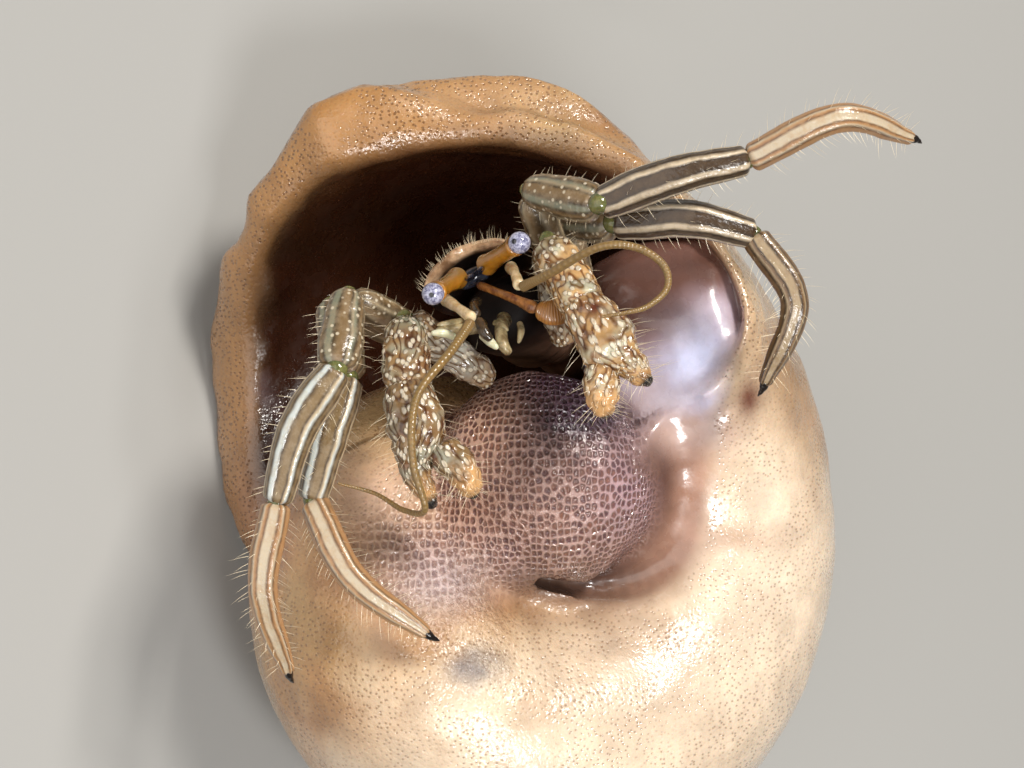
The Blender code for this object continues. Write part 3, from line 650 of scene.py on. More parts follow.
# The cells of the net are laid out as seen from the front, evened out over the callus; those of the crust
# run along the whorl and round it.
away = points - np.array(CALLUS)
even = np.sqrt(2.0 / np.maximum(1.0 - away[:, 1] / np.linalg.norm(away, axis=1), 0.25))
even = 1.0 + (even - 1.0) * (kind == CORE)
add_map(shell, "net", np.column_stack([away[:, 0] * even, away[:, 2] * even]))
growth = math.log(WHORL_RATE) / math.tau
run = SHELL_SIZE * 0.8 / growth * (1.0 - np.exp(-growth * np.radians(t_out)))
around_it = shell_size(t_out) * 0.49 * np.radians(u)
own = (points - np.array(APEX)) @ np.array(SHELL_TURN)
other = np.column_stack([np.arctan2(own[:, 1], own[:, 0]) * 9.0, own[:, 2] * 1.2])
crust_map = np.where((kind == CRUST)[:, None], np.column_stack([run, around_it]), other)
normals = numbers(shell.data.polygons, "normal", 3)
sizes = numbers(shell.data.polygons, "loop_total", kind=np.int32)
toward = np.repeat(normals @ np.array(REST_TURN) @ np.array(TO_VIEWER), sizes)
first = np.repeat(np.cumsum(sizes) - sizes, sizes)
in_front = (toward > 0.5) | (np.linalg.norm(points[first] - np.array(CALLUS), axis=1) < 10.5)
crust_map[in_front] = points[in_front][:, (0, 2)]
add_map(shell, "crust", crust_map)


class Finish:
    """A material under way: its nodes, and the shader that they feed."""

    def __init__(self, name):
        self.material = bpy.data.materials.new(name)
        self.material.use_nodes = True
        self.nodes = self.material.node_tree.nodes
        self.links = self.material.node_tree.links
        self.shader = self.nodes["Principled BSDF"]

    def feed(self, socket, value):
        """Joins a socket to another one, or sets it to a number or a colour."""
        if isinstance(value, bpy.types.NodeSocket):
            self.links.new(value, socket)
        elif isinstance(value, tuple):
            socket.default_value = (*value, 1.0)
        else:
            socket.default_value = value

    def colour(self, value):
        self.feed(self.shader.inputs["Base Color"], value)
        return self.material

    def gloss(self, roughness, coat=0.0, coat_roughness=0.03, sheer=0.0, radius=(0.0006, 0.0004, 0.0002)):
        """How wet and how sheer it is. radius is how far light spreads inside it, in metres."""
        inputs = self.shader.inputs
        self.feed(inputs["Roughness"], roughness)
        inputs["Coat Weight"].default_value = coat
        inputs["Coat Roughness"].default_value = coat_roughness
        if sheer:
            inputs["Subsurface Weight"].default_value = sheer
            inputs["Subsurface Radius"].default_value = radius
            inputs["Subsurface Scale"].default_value = 1.0

    def mixed(self, share, one, two, blend="MIX"):
        """A colour mix whose three inputs are each a socket or a value."""
        mix = self.nodes.new("ShaderNodeMix")
        mix.data_type = "RGBA"
        mix.blend_type = blend
        self.feed(mix.inputs[0], share)
        self.feed(mix.inputs[6], one)
        self.feed(mix.inputs[7], two)
        return mix.outputs[2]

    def sums(self, operation, *values):
        node = self.nodes.new("ShaderNodeMath")
        node.operation = operation
        for socket, value in zip(node.inputs, values):
            self.feed(socket, value)
        return node.outputs[0]

    def times(self, one, two):
        return self.sums("MULTIPLY", one, two)

    def plus(self, one, two):
        return self.sums("ADD", one, two)

    def ramp(self, value, *stops):
        """A colour ramp with stops of (place, grey or colour)."""
        node = self.nodes.new("ShaderNodeValToRGB")
        self.links.new(value, node.inputs[0])
        elements = node.color_ramp.elements
        while len(elements) < len(stops):
            elements.new(0.5)
        for element, (place, colour) in zip(elements, stops):
            element.position = place
            element.color = (*colour, 1.0) if isinstance(colour, tuple) else (colour, colour, colour, 1.0)
        return node.outputs[0]

    def layer(self, name):
        """The colour painted at each corner."""
        node = self.nodes.new("ShaderNodeVertexColor")
        node.layer_name = name
        return node.outputs[0]

    def split_layer(self, name):
        split = self.nodes.new("ShaderNodeSeparateColor")
        self.links.new(self.layer(name), split.inputs[0])
        return split.outputs[0], split.outputs[1], split.outputs[2]

    def on_map(self, node, name, stretch):
        """Sets a texture on one of the piece's maps, stretched along and across."""
        uv = self.nodes.new("ShaderNodeUVMap")
        uv.uv_map = name
        mapping = self.nodes.new("ShaderNodeMapping")
        mapping.inputs["Scale"].default_value = (*stretch, 1.0)
        self.links.new(uv.outputs[0], mapping.inputs[0])
        self.links.new(mapping.outputs[0], node.inputs["Vector"])
        node.inputs["Scale"].default_value = 1.0

    def map_cells(self, name, feature, randomness, stretch):
        """Cells on one of the piece's maps: stretch is how many a millimetre, along and across."""
        texture = self.nodes.new("ShaderNodeTexVoronoi")
        texture.voronoi_dimensions = "2D"
        texture.feature = feature
        texture.inputs["Randomness"].default_value = randomness
        self.on_map(texture, name, stretch)
        return texture.outputs["Distance"]

    def own_map(self):
        """The piece's own map: round it, and along it."""
        split = self.nodes.new("ShaderNodeSeparateXYZ")
        self.links.new(self.nodes.new("ShaderNodeUVMap").outputs[0], split.inputs[0])
        return split.outputs[0], split.outputs[1]

    def clouds(self, scale, detail=3.0, roughness=0.55):
        texture = self.nodes.new("ShaderNodeTexNoise")
        texture.inputs["Scale"].default_value = scale
        texture.inputs["Detail"].default_value = detail
        texture.inputs["Roughness"].default_value = roughness
        self.links.new(self.nodes.new("ShaderNodeTexCoord").outputs["Object"], texture.inputs["Vector"])
        return texture.outputs[0]

    def bump(self, height, distance):
        node = self.nodes.new("ShaderNodeBump")
        node.inputs["Distance"].default_value = distance
        self.links.new(height, node.inputs["Height"])
        self.links.new(node.outputs[0], self.shader.inputs["Normal"])
        self.links.new(node.outputs[0], self.shader.inputs["Coat Normal"])


NET_CELLS = (2.45, 1.95)
PITS = (2.8, 3.2)


def shell_finish():
    """Sea-mat: fine brown pits on the crust, a pale raised net over dark cells, and a wet film."""
    finish = Finish("sea-mat crust")
    tint = finish.layer("tint")
    net_share, pit_share, wet_share = finish.split_layer("mat")
    to_side = finish.map_cells("net", "DISTANCE_TO_EDGE", 0.6, NET_CELLS)
    sides = finish.ramp(to_side, (0.04, 1.0), (0.14, 0.5), (0.25, 0.0))
    corners = finish.ramp(finish.map_cells("net", "F1", 0.6, NET_CELLS), (0.30, 0.0), (0.52, 0.9))
    wall = finish.sums("MAXIMUM", sides, corners)
    pit = finish.ramp(finish.map_cells("crust", "F1", 0.9, PITS), (0.06, 1.0), (0.17, 0.4), (0.30, 0.0))
    broad = finish.ramp(finish.clouds(420.0, 4.0, 0.6), (0.35, 0.0), (0.65, 1.0))
    base = finish.mixed(0.35, tint, finish.mixed(broad, (0.50, 0.42, 0.36), (1.2, 1.15, 1.1)), "MULTIPLY")
    crust = finish.mixed(finish.times(pit, pit_share), base, finish.mixed(0.55, base, (0.15, 0.060, 0.020)))
    uneven = finish.ramp(finish.clouds(1500.0), (0.40, 0.0), (0.62, 1.0))
    cell = finish.mixed(1.0, base, finish.mixed(uneven, (0.36, 0.26, 0.31), (0.68, 0.50, 0.42)), "MULTIPLY")
    netted = finish.mixed(wall, cell, finish.mixed(1.0, base, (1.42, 1.45, 1.52), "MULTIPLY"))
    sunk = finish.times(pit, finish.times(pit_share, -0.25))
    grain = finish.times(finish.clouds(2600.0, 3.0, 0.6), finish.times(wet_share, 3.8))
    finish.bump(finish.plus(finish.plus(sunk, finish.times(wall, net_share)), grain), 0.00012)
    wetness = finish.ramp(finish.clouds(900.0), (0.35, 0.14), (0.65, 0.40))
    finish.gloss(wetness, 0.7, 0.09, 0.12, (0.0012, 0.0006, 0.0003))
    return finish.colour(finish.mixed(net_share, crust, netted))


def dress(obj, material, node_names):
    """Gives the piece its finish, its place on the model and the solids that it stands for."""
    obj.data.materials.clear()
    obj.data.materials.append(material)
    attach(obj, "root")
    if node_names:
        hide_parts(*node_names)


dress(shell, shell_finish(), ["shell"])

# ---------------------------------------------------------------- the soft body
# The chest, the rear carapace and the long curled abdomen are flesh under one thin skin. It runs from
# behind the mouth, back and round the hollow of the shell, to the small tail fan that grips inside.
CRAB_LEFT = Vector((0.883, 0.0, 0.469))
CRAB_BACK = Vector((-0.469, 0.0, 0.883))


def body_point(side, up, back):
    """A point this far to the crab's left, up from its belly, and back from its face."""
    across = Vector((-2.2, 0.0, 5.6)) + CRAB_LEFT * side + CRAB_BACK * up
    return across + Vector((0.35 * back, back, -0.12 * back))


def abdomen_point(t):
    size = float(shell_size(t))
    turn = math.radians(t)
    out = 0.67 * size
    return APEX + SHELL_TURN @ Vector((math.cos(turn) * out, math.sin(turn) * out, -0.52 * size))


def wrinkles(f, turn, point):
    fold = 0.10 * math.sin(f * 150.0) * (0.5 + 0.5 * math.sin(turn + f * 9.0))
    return fold + 0.12 * noise.noise(point * 0.7)


def wet_finish(name, colour, dark, scale, roughness=0.3, sheer=0.25, coat=0.5, painted_shade=None, shine=0.5):
    """Moist skin or horn, mottled between two colours, with a dark painted shade where the tint is painted
    white.
    """
    finish = Finish(name)
    cloud = finish.clouds(scale, 4.0, 0.6)
    mottled = finish.mixed(finish.ramp(cloud, (0.38, 0.0), (0.62, 1.0)), dark, colour)
    if painted_shade:
        mottled = finish.mixed(finish.layer("tint"), mottled, painted_shade)
    finish.bump(cloud, 0.00005)
    finish.gloss(roughness, coat, 0.1, sheer, (0.0010, 0.0005, 0.0003))
    finish.shader.inputs["Specular IOR Level"].default_value = shine
    return finish.colour(mottled)


neck = body_point(0.6, -1.5, 11.7)
skin_path = [body_point(side, up, back) for side, up, back in (
    (0, -1.4, 1.6), (0, -1.3, 4.0), (0, -1.2, 7.4), (0, -1.2, 9.2), (0.5, -1.6, 11.0),
)]
skin_path.append((neck + abdomen_point(70.0)) * 0.5 + Vector((0.3, 1.4, 0.4)))
skin_path += [abdomen_point(t) for t in (76.0, 94.0, 112.0, 130.0, 148.0, 166.0, 184.0, 204.0, 224.0)]
skin = Limb(skin_path, [4.4, 5.8, 5.2, 5.6, 4.6, 5.0, 5.8, 5.8, 5.6, 5.4, 5.0, 4.8, 4.6, 4.2, 3.8],
            [3.0, 4.0, 4.0, 4.6, 4.2, 4.8, 5.4, 5.6, 5.4, 5.2, 5.0, 4.8, 4.6, 4.2, 3.8], CRAB_BACK,
            ends=(0.03, 0.03)).roll("skin", 40, 190, wrinkles)
_, where = corner_points(skin)
# Painted shade: the front of the skin, by the mouth, is painted near-black.
paint(skin, "tint", unit(1.25 - where[:, 1] * 3.2))
SKIN = wet_finish("soft skin", (0.26, 0.13, 0.075), (0.12, 0.055, 0.03), 500.0, 0.55, coat=0.0,
                  painted_shade=(0.009, 0.005, 0.004), shine=0.15)
dress(skin, SKIN, ["thorax", "carapace_rear", "abdomen_1", "abdomen_2", "abdomen_3"])

tail = Limb([abdomen_point(t) for t in (228.0, 240.0, 252.0)], [2.6, 3.4, 2.4], [1.8, 1.6, 1.0],
            (0.6, -0.77, 0.25), ends=(0.12, 0.12)).roll("tail fan", 24, 24)
TAIL = wet_finish("tail fan horn", (0.40, 0.24, 0.12), (0.22, 0.12, 0.06), 900.0)
dress(tail, TAIL, ["tail_fan"])

# ---------------------------------------------------------------- the shield
# The hard front plate of the carapace, of horn, curved over the back of the head and grown to the skin
# below. Its front edge shows as a tan strip above the eyes; its underside, back from that edge, is
# painted near-black as shade.
SHIELD_BEND = 1.35


def shield_place(around, along):
    points = []
    for a, f in zip(around, along):
        half_turn = math.tau * (a % 1.0)
        g = math.cos(half_turn)
        over = 1.0 if math.sin(half_turn) >= 0 else -1.0
        edge = math.sqrt(max(1.0 - g ** 4, 0.0)) * math.sqrt(max(1.0 - (2.0 * f - 1.0) ** 8, 0.0))
        thick = (0.30 + 0.12 * (1.0 - f) ** 4) * edge
        half = 3.35 - 0.5 * (2 * f - 1) ** 2 - 0.15 * f
        side = half * math.sin(g * SHIELD_BEND) / math.sin(SHIELD_BEND)
        front = -0.35 * float(bell(g * 60.0, 0.0, 14.0)) * (1.0 - f) ** 2
        up = 1.75 + 0.40 * (1 - f) ** 2 - 1.25 * g * g + over * thick
        rough = 0.05 * noise.noise(Vector((g * 4.0, f * 6.0, over)))
        points.append(body_point(side, up + rough, 0.7 + 5.7 * f + front))
    return np.array([tuple(p) for p in points])


shield = rolled("shield", 64, 40, shield_place)
_, where = corner_points(shield)
# Painted shade: the underside, back from the front edge, is painted near-black.
paint(shield, "tint", (np.sin(math.tau * where[:, 0]) < 0.05) * unit((where[:, 1] - 0.05) / 0.05))
SHIELD = wet_finish("shield horn", (0.60, 0.40, 0.24), (0.26, 0.14, 0.07), 1500.0, 0.28,
                    painted_shade=(0.016, 0.010, 0.008))
dress(shield, SHIELD, ["shield"])

# ---------------------------------------------------------------- bristles
# Fine pale hairs of chitin, stiff and slightly curved, that stand along the edges of the plate, the legs
# and the pincers. Each is a thin three-sided spike of its own, rooted just under the surface.
GOLDEN = (0.86, 0.72, 0.48)
PATCH = ((0.0, 0.0), (0.003, 0.0), (0.003, 0.003), (0.0, 0.003))
SPIKE_SIDES = 3
SHIELD_HAIRS = 90


def spread_number(i, salt):
    """A repeatable number from 0 to 1 for each i."""
    return (math.sin(i * 12.9898 + salt * 78.233) * 43758.5453) % 1.0


def bristle_finish():
    finish = Finish("bristle")
    finish.gloss(0.35, sheer=0.2, radius=(0.0005, 0.0004, 0.0002))
    return finish.colour(GOLDEN)


BRISTLE = bristle_finish()


def bristles(name, hairs, thick=0.05):
    """hairs holds (root, way, length, bend, map place): one spike each, joined into one mesh."""
    verts, faces, maps = [], [], []
    for root, way, length, bend, place in hairs:
        way = way.normalized()
        side = way.orthogonal().normalized()
        across = way.cross(side)
        first = len(verts)
        for share, width in ((-0.06, 1.0), (0.5, 0.72)):
            middle = root + way * (length * share) + bend * (length * share * abs(share))
            for k in range(SPIKE_SIDES):
                turn = math.tau * k / SPIKE_SIDES
                out = side * math.cos(turn) + across * math.sin(turn)
                verts.append(middle + out * (0.5 * thick * width))
        verts.append(root + way * length + bend * length)
        half_way = first + SPIKE_SIDES
        tip = half_way + SPIKE_SIDES
        spike = []
        for k in range(SPIKE_SIDES):
            after = (k + 1) % SPIKE_SIDES
            spike.append((first + k, first + after, half_way + after, half_way + k))
            spike.append((half_way + k, half_way + after, tip))
        spike.append((first + 2, first + 1, first))
        faces += spike
        for face in spike:
            for patch_u, patch_v in PATCH[:len(face)]:
                maps += [place[0] + patch_u, place[1] + patch_v]
    mesh = bpy.data.meshes.new(name)
    mesh.from_pydata([tuple(p) for p in rested([tuple(v) for v in verts])], [], faces)
    mesh.uv_layers.new(name="OFBake").uv.foreach_set("vector", maps)
    obj = bpy.data.objects.new(name.replace(" ", "_"), mesh)
    bpy.context.collection.objects.link(obj)
    dress(obj, BRISTLE, [])


fringe = []
for i in range(SHIELD_HAIRS):
    g = -1.0 + 2.0 * spread_number(i, 1.0)
    side = 2.85 * math.sin(g * SHIELD_BEND) / math.sin(SHIELD_BEND)
    root = body_point(side, 2.15 - 1.25 * g * g + 0.2 * spread_number(i, 2), 0.6)
    way = CRAB_BACK * 0.8 + TO_VIEWER * 0.7 + CRAB_LEFT * (g * 0.5 + 0.5 * (spread_number(i, 3) - 0.5))
    length = 0.35 + 0.65 * spread_number(i, 4) ** 2
    fringe.append((root, way, length, CRAB_LEFT * 0.1, (0.05 + 0.9 * (g + 1) / 2, 0.5)))
bristles("shield bristles", fringe, 0.026)

# ---------------------------------------------------------------- eyes
# Each cornea is a pale lavender bead, dark-speckled, with one dark facet group that looks like a pupil.
# It sits in the end of an amber stalk, which is waisted, darker on top, and rises from a dark plate.
EYES = {
    "right": ((-2.95, 0.0, 5.95), (-4.25, -3.2, 4.85), (-0.05, -0.53, -0.08), 0.45),
    "left": ((-1.55, 0.1, 6.55), (0.4, -3.2, 7.6), (-0.30, -0.53, 0.03), 0.1),
}
CORNEA_RADII = (0.61, 0.61, 0.61)
STALK_THICK = [1.06, 0.94, 1.0, 1.2]


def cornea_finish():
    finish = Finish("cornea")
    share = finish.ramp(finish.clouds(5200.0, 4.0, 0.7), (0.44, 1.0), (0.52, 0.35), (0.58, 0.0))
    colour = finish.mixed(share, (0.50, 0.50, 0.64), (0.15, 0.15, 0.25))
    finish.gloss(0.12, 1.0, 0.03)
    return finish.colour(finish.mixed(finish.layer("tint"), colour, (0.004, 0.004, 0.008)))


def stalk_finish():
    finish = Finish("eyestalk amber")
    amber = finish.mixed(finish.clouds(2200.0), (0.50, 0.21, 0.014), (0.30, 0.115, 0.008))
    finish.bump(finish.clouds(3600.0, 2.0), 0.00003)
    finish.gloss(0.25, 0.8, 0.08, 0.35, (0.0008, 0.0003, 0.0001))
    return finish.colour(finish.mixed(finish.layer("tint"), amber, (0.17, 0.095, 0.028)))


CORNEA = cornea_finish()
STALK = stalk_finish()
for side, (base, cornea, to_pupil, dark_top) in EYES.items():
    base, cornea = Vector(base), Vector(cornea)
    eye = ball("eye " + side, cornea, CORNEA_RADII, 90, 60)
    points, _ = corner_points(eye)
    pupil = cornea + Vector(to_pupil)
    paint(eye, "tint", unit(3.6 - np.linalg.norm(points - np.array(pupil), axis=1) / 0.05))
    dress(eye, CORNEA, ["eye_" + side])
    stop = cornea - (cornea - base).normalized() * 0.30
    stalk = Limb([base, base + (stop - base) * 0.5, stop], [1.42] + STALK_THICK, [1.35] + STALK_THICK,
                 CRAB_BACK, ends=(0.1, 0.05)).roll("eyestalk " + side, 32, 36)
    points, where = corner_points(stalk)
    over = unit(((points - np.array((base + stop) / 2.0)) @ np.array(CRAB_BACK)) * 1.5 + dark_top)
    paint(stalk, "tint", unit(np.maximum(over, 1.0 - where[:, 1] * 4.0)) * 0.85)
    dress(stalk, STALK, ["eyestalk_" + side])

# ---------------------------------------------------------------- the plates between the eyes
# A pair of small blue-black scales stands between the bases of the stalks, over a dark rounded plate.
# All are thin horn, grown together with the stalks' roots.
EYE_SCALES = {
    "right": ((-2.30, -0.2, 5.85), (-2.35, -1.6, 5.85)),
    "left": ((-1.85, -0.2, 6.15), (-1.70, -1.6, 6.35)),
}
plates = Limb([(-3.0, 0.6, 5.5), (-2.15, 0.35, 6.0), (-1.3, 0.6, 6.4)], [0.9, 1.05, 0.9], [0.85, 1.15, 0.85],
              ends=(0.2, 0.2)).roll("eye plates", 28, 24)
DARK_PLATE = wet_finish("dark plate", (0.022, 0.026, 0.046), (0.010, 0.011, 0.018), 1500.0, 0.18)
dress(plates, DARK_PLATE, ["ocular_plates"])
for side, (start, stop) in EYE_SCALES.items():
    middle = (Vector(start) + Vector(stop)) / 2 + Vector((0, 0, 0.08))
    scale = Limb([start, middle, stop], [0.62, 0.7, 0.45, 0.12], [0.35, 0.35, 0.25, 0.1],
                 CRAB_BACK, (0.1, 0.05))
    dress(scale.roll("eye scale " + side, 20, 20), DARK_PLATE, [])

# ---------------------------------------------------------------- feelers
# The long antennae: a pale jointed stem of horn and an olive-amber whip of many short rings. The short
# antennules between them are red-brown, and end in a flat comb that tastes the water. Each is a tapering
# part rolled along its route, with its root inside the head.
WHIPS = {
    "right": ((-2.15, -4.15, 3.35), (-3.2, -5.8, 1.7), (-4.7, -7.4, -0.3), (-5.1, -8.0, -2.0),
              (-5.0, -8.2, -4.2), (-4.45, -7.9, -6.4), (-5.6, -6.5, -6.55), (-7.2, -5.4, -5.75),
              (-9.2, -5.4, -5.2)),
    "left": ((0.5, -4.15, 5.15), (1.8, -5.5, 5.7), (4.4, -7.4, 7.0), (6.3, -7.7, 7.0), (7.7, -7.9, 6.1),
             (7.9, -8.1, 4.9), (6.9, -8.4, 3.95), (5.7, -8.5, 3.6), (4.5, -8.6, 3.4)),
}
WHIP_THICK = [0.60, 0.50, 0.44, 0.42, 0.40, 0.36, 0.30, 0.22, 0.14]
STEMS = {
    "right": ((-3.75, -0.6, 4.7), (-2.9, -2.6, 4.1), (-2.1, -4.0, 3.5)),
    "left": ((-0.1, -0.6, 6.5), (0.15, -2.4, 6.0), (0.4, -4.0, 5.2)),
}
STEM_THICK = [0.72, 0.66, 0.52, 0.60, 0.70]


def ringed_finish(name, colour, dark, rings):
    """Rings across the part, from its own map."""
    finish = Finish(name)
    wave = finish.sums("SINE", finish.times(finish.own_map()[1], rings * math.tau))
    share = finish.sums("MULTIPLY_ADD", wave, 0.5, 0.5)
    tone = finish.mixed(finish.clouds(1300.0), colour, tuple(c * 0.55 for c in colour))
    finish.bump(share, 0.000015)
    finish.gloss(0.35, 0.4, 0.1, 0.3, (0.0005, 0.0003, 0.0001))
    return finish.colour(finish.mixed(finish.times(share, 0.3), tone, dark))


STEM_PALE = wet_finish("feeler stem", (0.74, 0.60, 0.38), (0.52, 0.36, 0.17), 1600.0, 0.25)
WHIP = ringed_finish("feeler rings", (0.30, 0.185, 0.06), (0.12, 0.065, 0.02), 80.0)
for side in ("right", "left"):
    whip = Limb(WHIPS[side], WHIP_THICK, WHIP_THICK, CRAB_BACK, (0.01, 0.01))
    whip_nodes = ["antenna_%s_%s" % (side, part) for part in "abc"]
    dress(whip.roll("feeler whip " + side, 14, 190), WHIP, whip_nodes)
    stem = Limb(STEMS[side], STEM_THICK, STEM_THICK, CRAB_BACK, (0.08, 0.08))
    dress(stem.roll("feeler stem " + side, 22, 34), STEM_PALE, ["antenna_%s_stem" % side])

ORANGE = wet_finish("antennule red-brown", (0.36, 0.15, 0.035), (0.12, 0.035, 0.010), 1800.0, 0.25)
DARK_HORN = wet_finish("antennule dark", (0.075, 0.045, 0.02), (0.022, 0.014, 0.008), 1800.0, 0.25)
COMB = ringed_finish("antennule comb", (0.46, 0.19, 0.030), (0.08, 0.026, 0.006), 15.0)
for name, node, points, widths, depths, finish in (
    ("antennule left", "antennule_left",
     [(-1.95, -0.1, 5.55), (-0.9, -1.1, 5.1), (0.2, -2.1, 4.6), (1.4, -3.1, 4.0)],
     [0.5, 0.46, 0.52, 0.8], [0.45, 0.45, 0.5, 0.6], ORANGE),
    ("antennule left comb", "antennule_left_tip",
     [(1.3, -3.15, 4.05), (2.05, -3.3, 3.85), (2.9, -3.2, 3.95)],
     [0.8, 1.15, 1.4, 1.45, 1.3], [0.6, 0.5, 0.45, 0.4, 0.3], COMB),
    ("antennule right", "antennule_right",
     [(-1.9, -0.2, 4.6), (-2.1, -1.5, 4.3), (-1.9, -2.5, 3.7)],
     [0.6, 0.5, 0.55], [0.6, 0.5, 0.55], DARK_HORN),
    ("antennule right comb", "antennule_right_tip",
     [(-1.85, -2.6, 3.55), (-1.5, -3.0, 2.8), (-1.1, -3.0, 2.35)],
     [0.55, 0.6, 0.4], [0.5, 0.5, 0.4], DARK_HORN),
):
    dress(Limb(points, widths, depths, ends=(0.1, 0.12)).roll(name, 20, 34), finish, [node])

# ---------------------------------------------------------------- mouth legs
# Small legs of thin horn that pass food to the mouth. The outer ones are olive and fold in front of it,
# and smaller ones, some with cream-green tips, show between them over the dark mouth.
MOUTH = wet_finish("mouth leg", (0.40, 0.32, 0.17), (0.16, 0.11, 0.05), 1500.0, 0.25)
MOUTH_TIP = wet_finish("mouth leg tip", (0.72, 0.70, 0.50), (0.50, 0.48, 0.30), 1500.0, 0.22)
SMALL_MOUTH = (
    ((-3.1, -1.9, 2.55), (-3.7, -2.6, 2.75), (-4.4, -2.7, 2.75), 0.42, MOUTH_TIP),
    ((-1.7, -1.7, 2.7), (-1.2, -2.5, 2.3), (-0.75, -2.8, 1.9), 0.44, MOUTH_TIP),
    ((-2.6, -1.0, 3.5), (-3.2, -1.9, 3.35), (-4.1, -2.3, 3.2), 0.36, MOUTH),
    ((0.4, -1.4, 3.4), (0.5, -2.0, 2.9), (0.35, -2.3, 2.2), 0.34, MOUTH),
    ((-1.0, -1.1, 3.4), (-0.6, -1.9, 3.2), (-0.2, -2.2, 2.9), 0.34, MOUTH),
)
for side, points, facing in (
    ("right", [(-1.6, 0.3, 3.3), (-2.6, -1.4, 3.0), (-3.7, -2.0, 2.9), (-4.3, -2.0, 2.5)], CRAB_BACK),
    ("left", [(-0.4, 0.4, 3.7), (-0.6, -1.6, 3.0), (-0.5, -2.4, 2.2), (-0.1, -2.4, 1.6)], CRAB_LEFT),
):
    piece = Limb(points, [0.95, 0.8, 0.74, 0.5], [0.85, 0.7, 0.68, 0.45], facing, ends=(0.06, 0.08))
    dress(piece.roll("mouth leg " + side, 22, 44), MOUTH, ["maxilliped_" + side])
for number, (start, bend, stop, thick, finish) in enumerate(SMALL_MOUTH):
    piece = Limb([start, bend, stop], [thick, thick * 1.15, thick * 0.7], [thick * 0.8, thick, thick * 0.6],
                 ends=(0.1, 0.15)).roll("small mouth leg %d" % number, 16, 24)
    dress(piece, finish, [])

# ---------------------------------------------------------------- walking legs
# Two pairs of long legs with five hard segments each. The shafts are olive-brown with cream, blue-white and
# dark lengthwise stripes; the last segments are tan with a cream line and end in black horny tips. Soft
# green skin bridges the joints, and rows of golden bristles stand along the edges.
LEG_JOINTS = {
    "leg_2_right": ((-3.9, -1.8, 3.4), (-8.9, -2.2, 4.9), (-9.3, -4.4, 0.8), (-11.3, -5.2, -2.4),
                    (-12.4, -5.0, -6.2), (-13.1, -5.2, -10.9), (-12.0, -3.2, -15.6)),
    "leg_3_right": ((-4.0, -2.0, 5.6), (-10.2, 1.2, 4.5), (-9.0, -1.5, 0.3), (-9.9, -3.0, -2.9),
                    (-10.7, -3.6, -6.2), (-8.4, -5.0, -10.2), (-4.4, -4.6, -13.3)),
    "leg_2_left": ((3.9, -1.6, 3.4), (0.9, 0.0, 10.8), (4.7, -2.8, 9.7), (8.6, -3.9, 11.1),
                   (12.6, -3.6, 12.0), (17.4, -4.6, 14.1), (21.8, -2.4, 13.3)),
    "leg_3_left": ((4.0, -1.9, 5.6), (2.9, 3.3, 9.5), (5.6, -0.7, 8.9), (9.6, -2.0, 9.0),
                   (13.2, -1.6, 8.2), (15.4, -2.0, 4.4), (13.9, -0.8, -0.1)),
}


def striped_finish(name, stops, blotch, blotch_share, dots=0.0):
    """Lengthwise stripes from the part's own map, broken up by blotches."""
    finish = Finish(name)
    sway = finish.sums("SUBTRACT", finish.clouds(650.0), 0.5)
    stripes = finish.ramp(finish.plus(finish.own_map()[0], finish.times(sway, 0.05)), *stops)
    cloud = finish.ramp(finish.clouds(1700.0, 4.0, 0.65), (0.45, 0.0), (0.62, 1.0))
    colour = finish.mixed(finish.times(cloud, blotch_share), stripes, blotch)
    if dots:
        granule = finish.nodes.new("ShaderNodeTexVoronoi")
        granule.inputs["Scale"].default_value = 2400.0
        granule.inputs["Randomness"].default_value = 0.8
        finish.links.new(finish.nodes.new("ShaderNodeTexCoord").outputs["Object"], granule.inputs["Vector"])
        spot = finish.ramp(granule.outputs["Distance"], (0.16, 1.0), (0.30, 0.0))
        colour = finish.mixed(finish.times(spot, dots), colour, (0.62, 0.54, 0.40))
    tone = finish.nodes.new("ShaderNodeRGBToBW")
    finish.links.new(stripes, tone.inputs[0])
    finish.bump(finish.plus(tone.outputs[0], finish.times(finish.clouds(3800.0), 0.6)), 0.00007)
    finish.gloss(0.28, 0.4, 0.1, 0.15)
    return finish.colour(colour)


def stops_of(places, colours, letters):
    """Stops of a colour ramp: a place for each letter, which names one of the colours."""
    return [(place, colours[letter]) for place, letter in zip(places, letters)]


def stripe_stops(base, pale, dark, blue):
    """Stripes round the limb, the viewer's side at 0.25: broad bands with thin dark, pale and blue lines."""
    return stops_of((
        0.0, 0.045, 0.075, 0.10, 0.135, 0.155, 0.185, 0.205, 0.24, 0.285, 0.305, 0.325, 0.345, 0.37,
        0.40, 0.44, 0.465, 0.50, 0.57, 0.60, 0.64, 0.70, 0.74, 0.78, 0.86, 0.90, 0.94, 1.0,
    ), {"-": base, "p": pale, "d": dark, "b": blue}, "-pd-dbbd--dpbd-dp-dpd-pd-pd-")


def foot_stops(base, dark, pale):
    """Stripes round a last segment: one broad pale band toward the viewer between thin dark lines."""
    return stops_of((
        0.0, 0.08, 0.115, 0.145, 0.17, 0.195, 0.215, 0.25, 0.285, 0.31, 0.335, 0.36,
        0.385, 0.42, 0.5, 0.57, 0.60, 0.64, 0.70, 0.74, 0.78, 0.86, 0.94, 1.0,
    ), {"-": base, "p": pale, "d": dark}, "--dp-dpppd-pd--dpd-pd-d-")


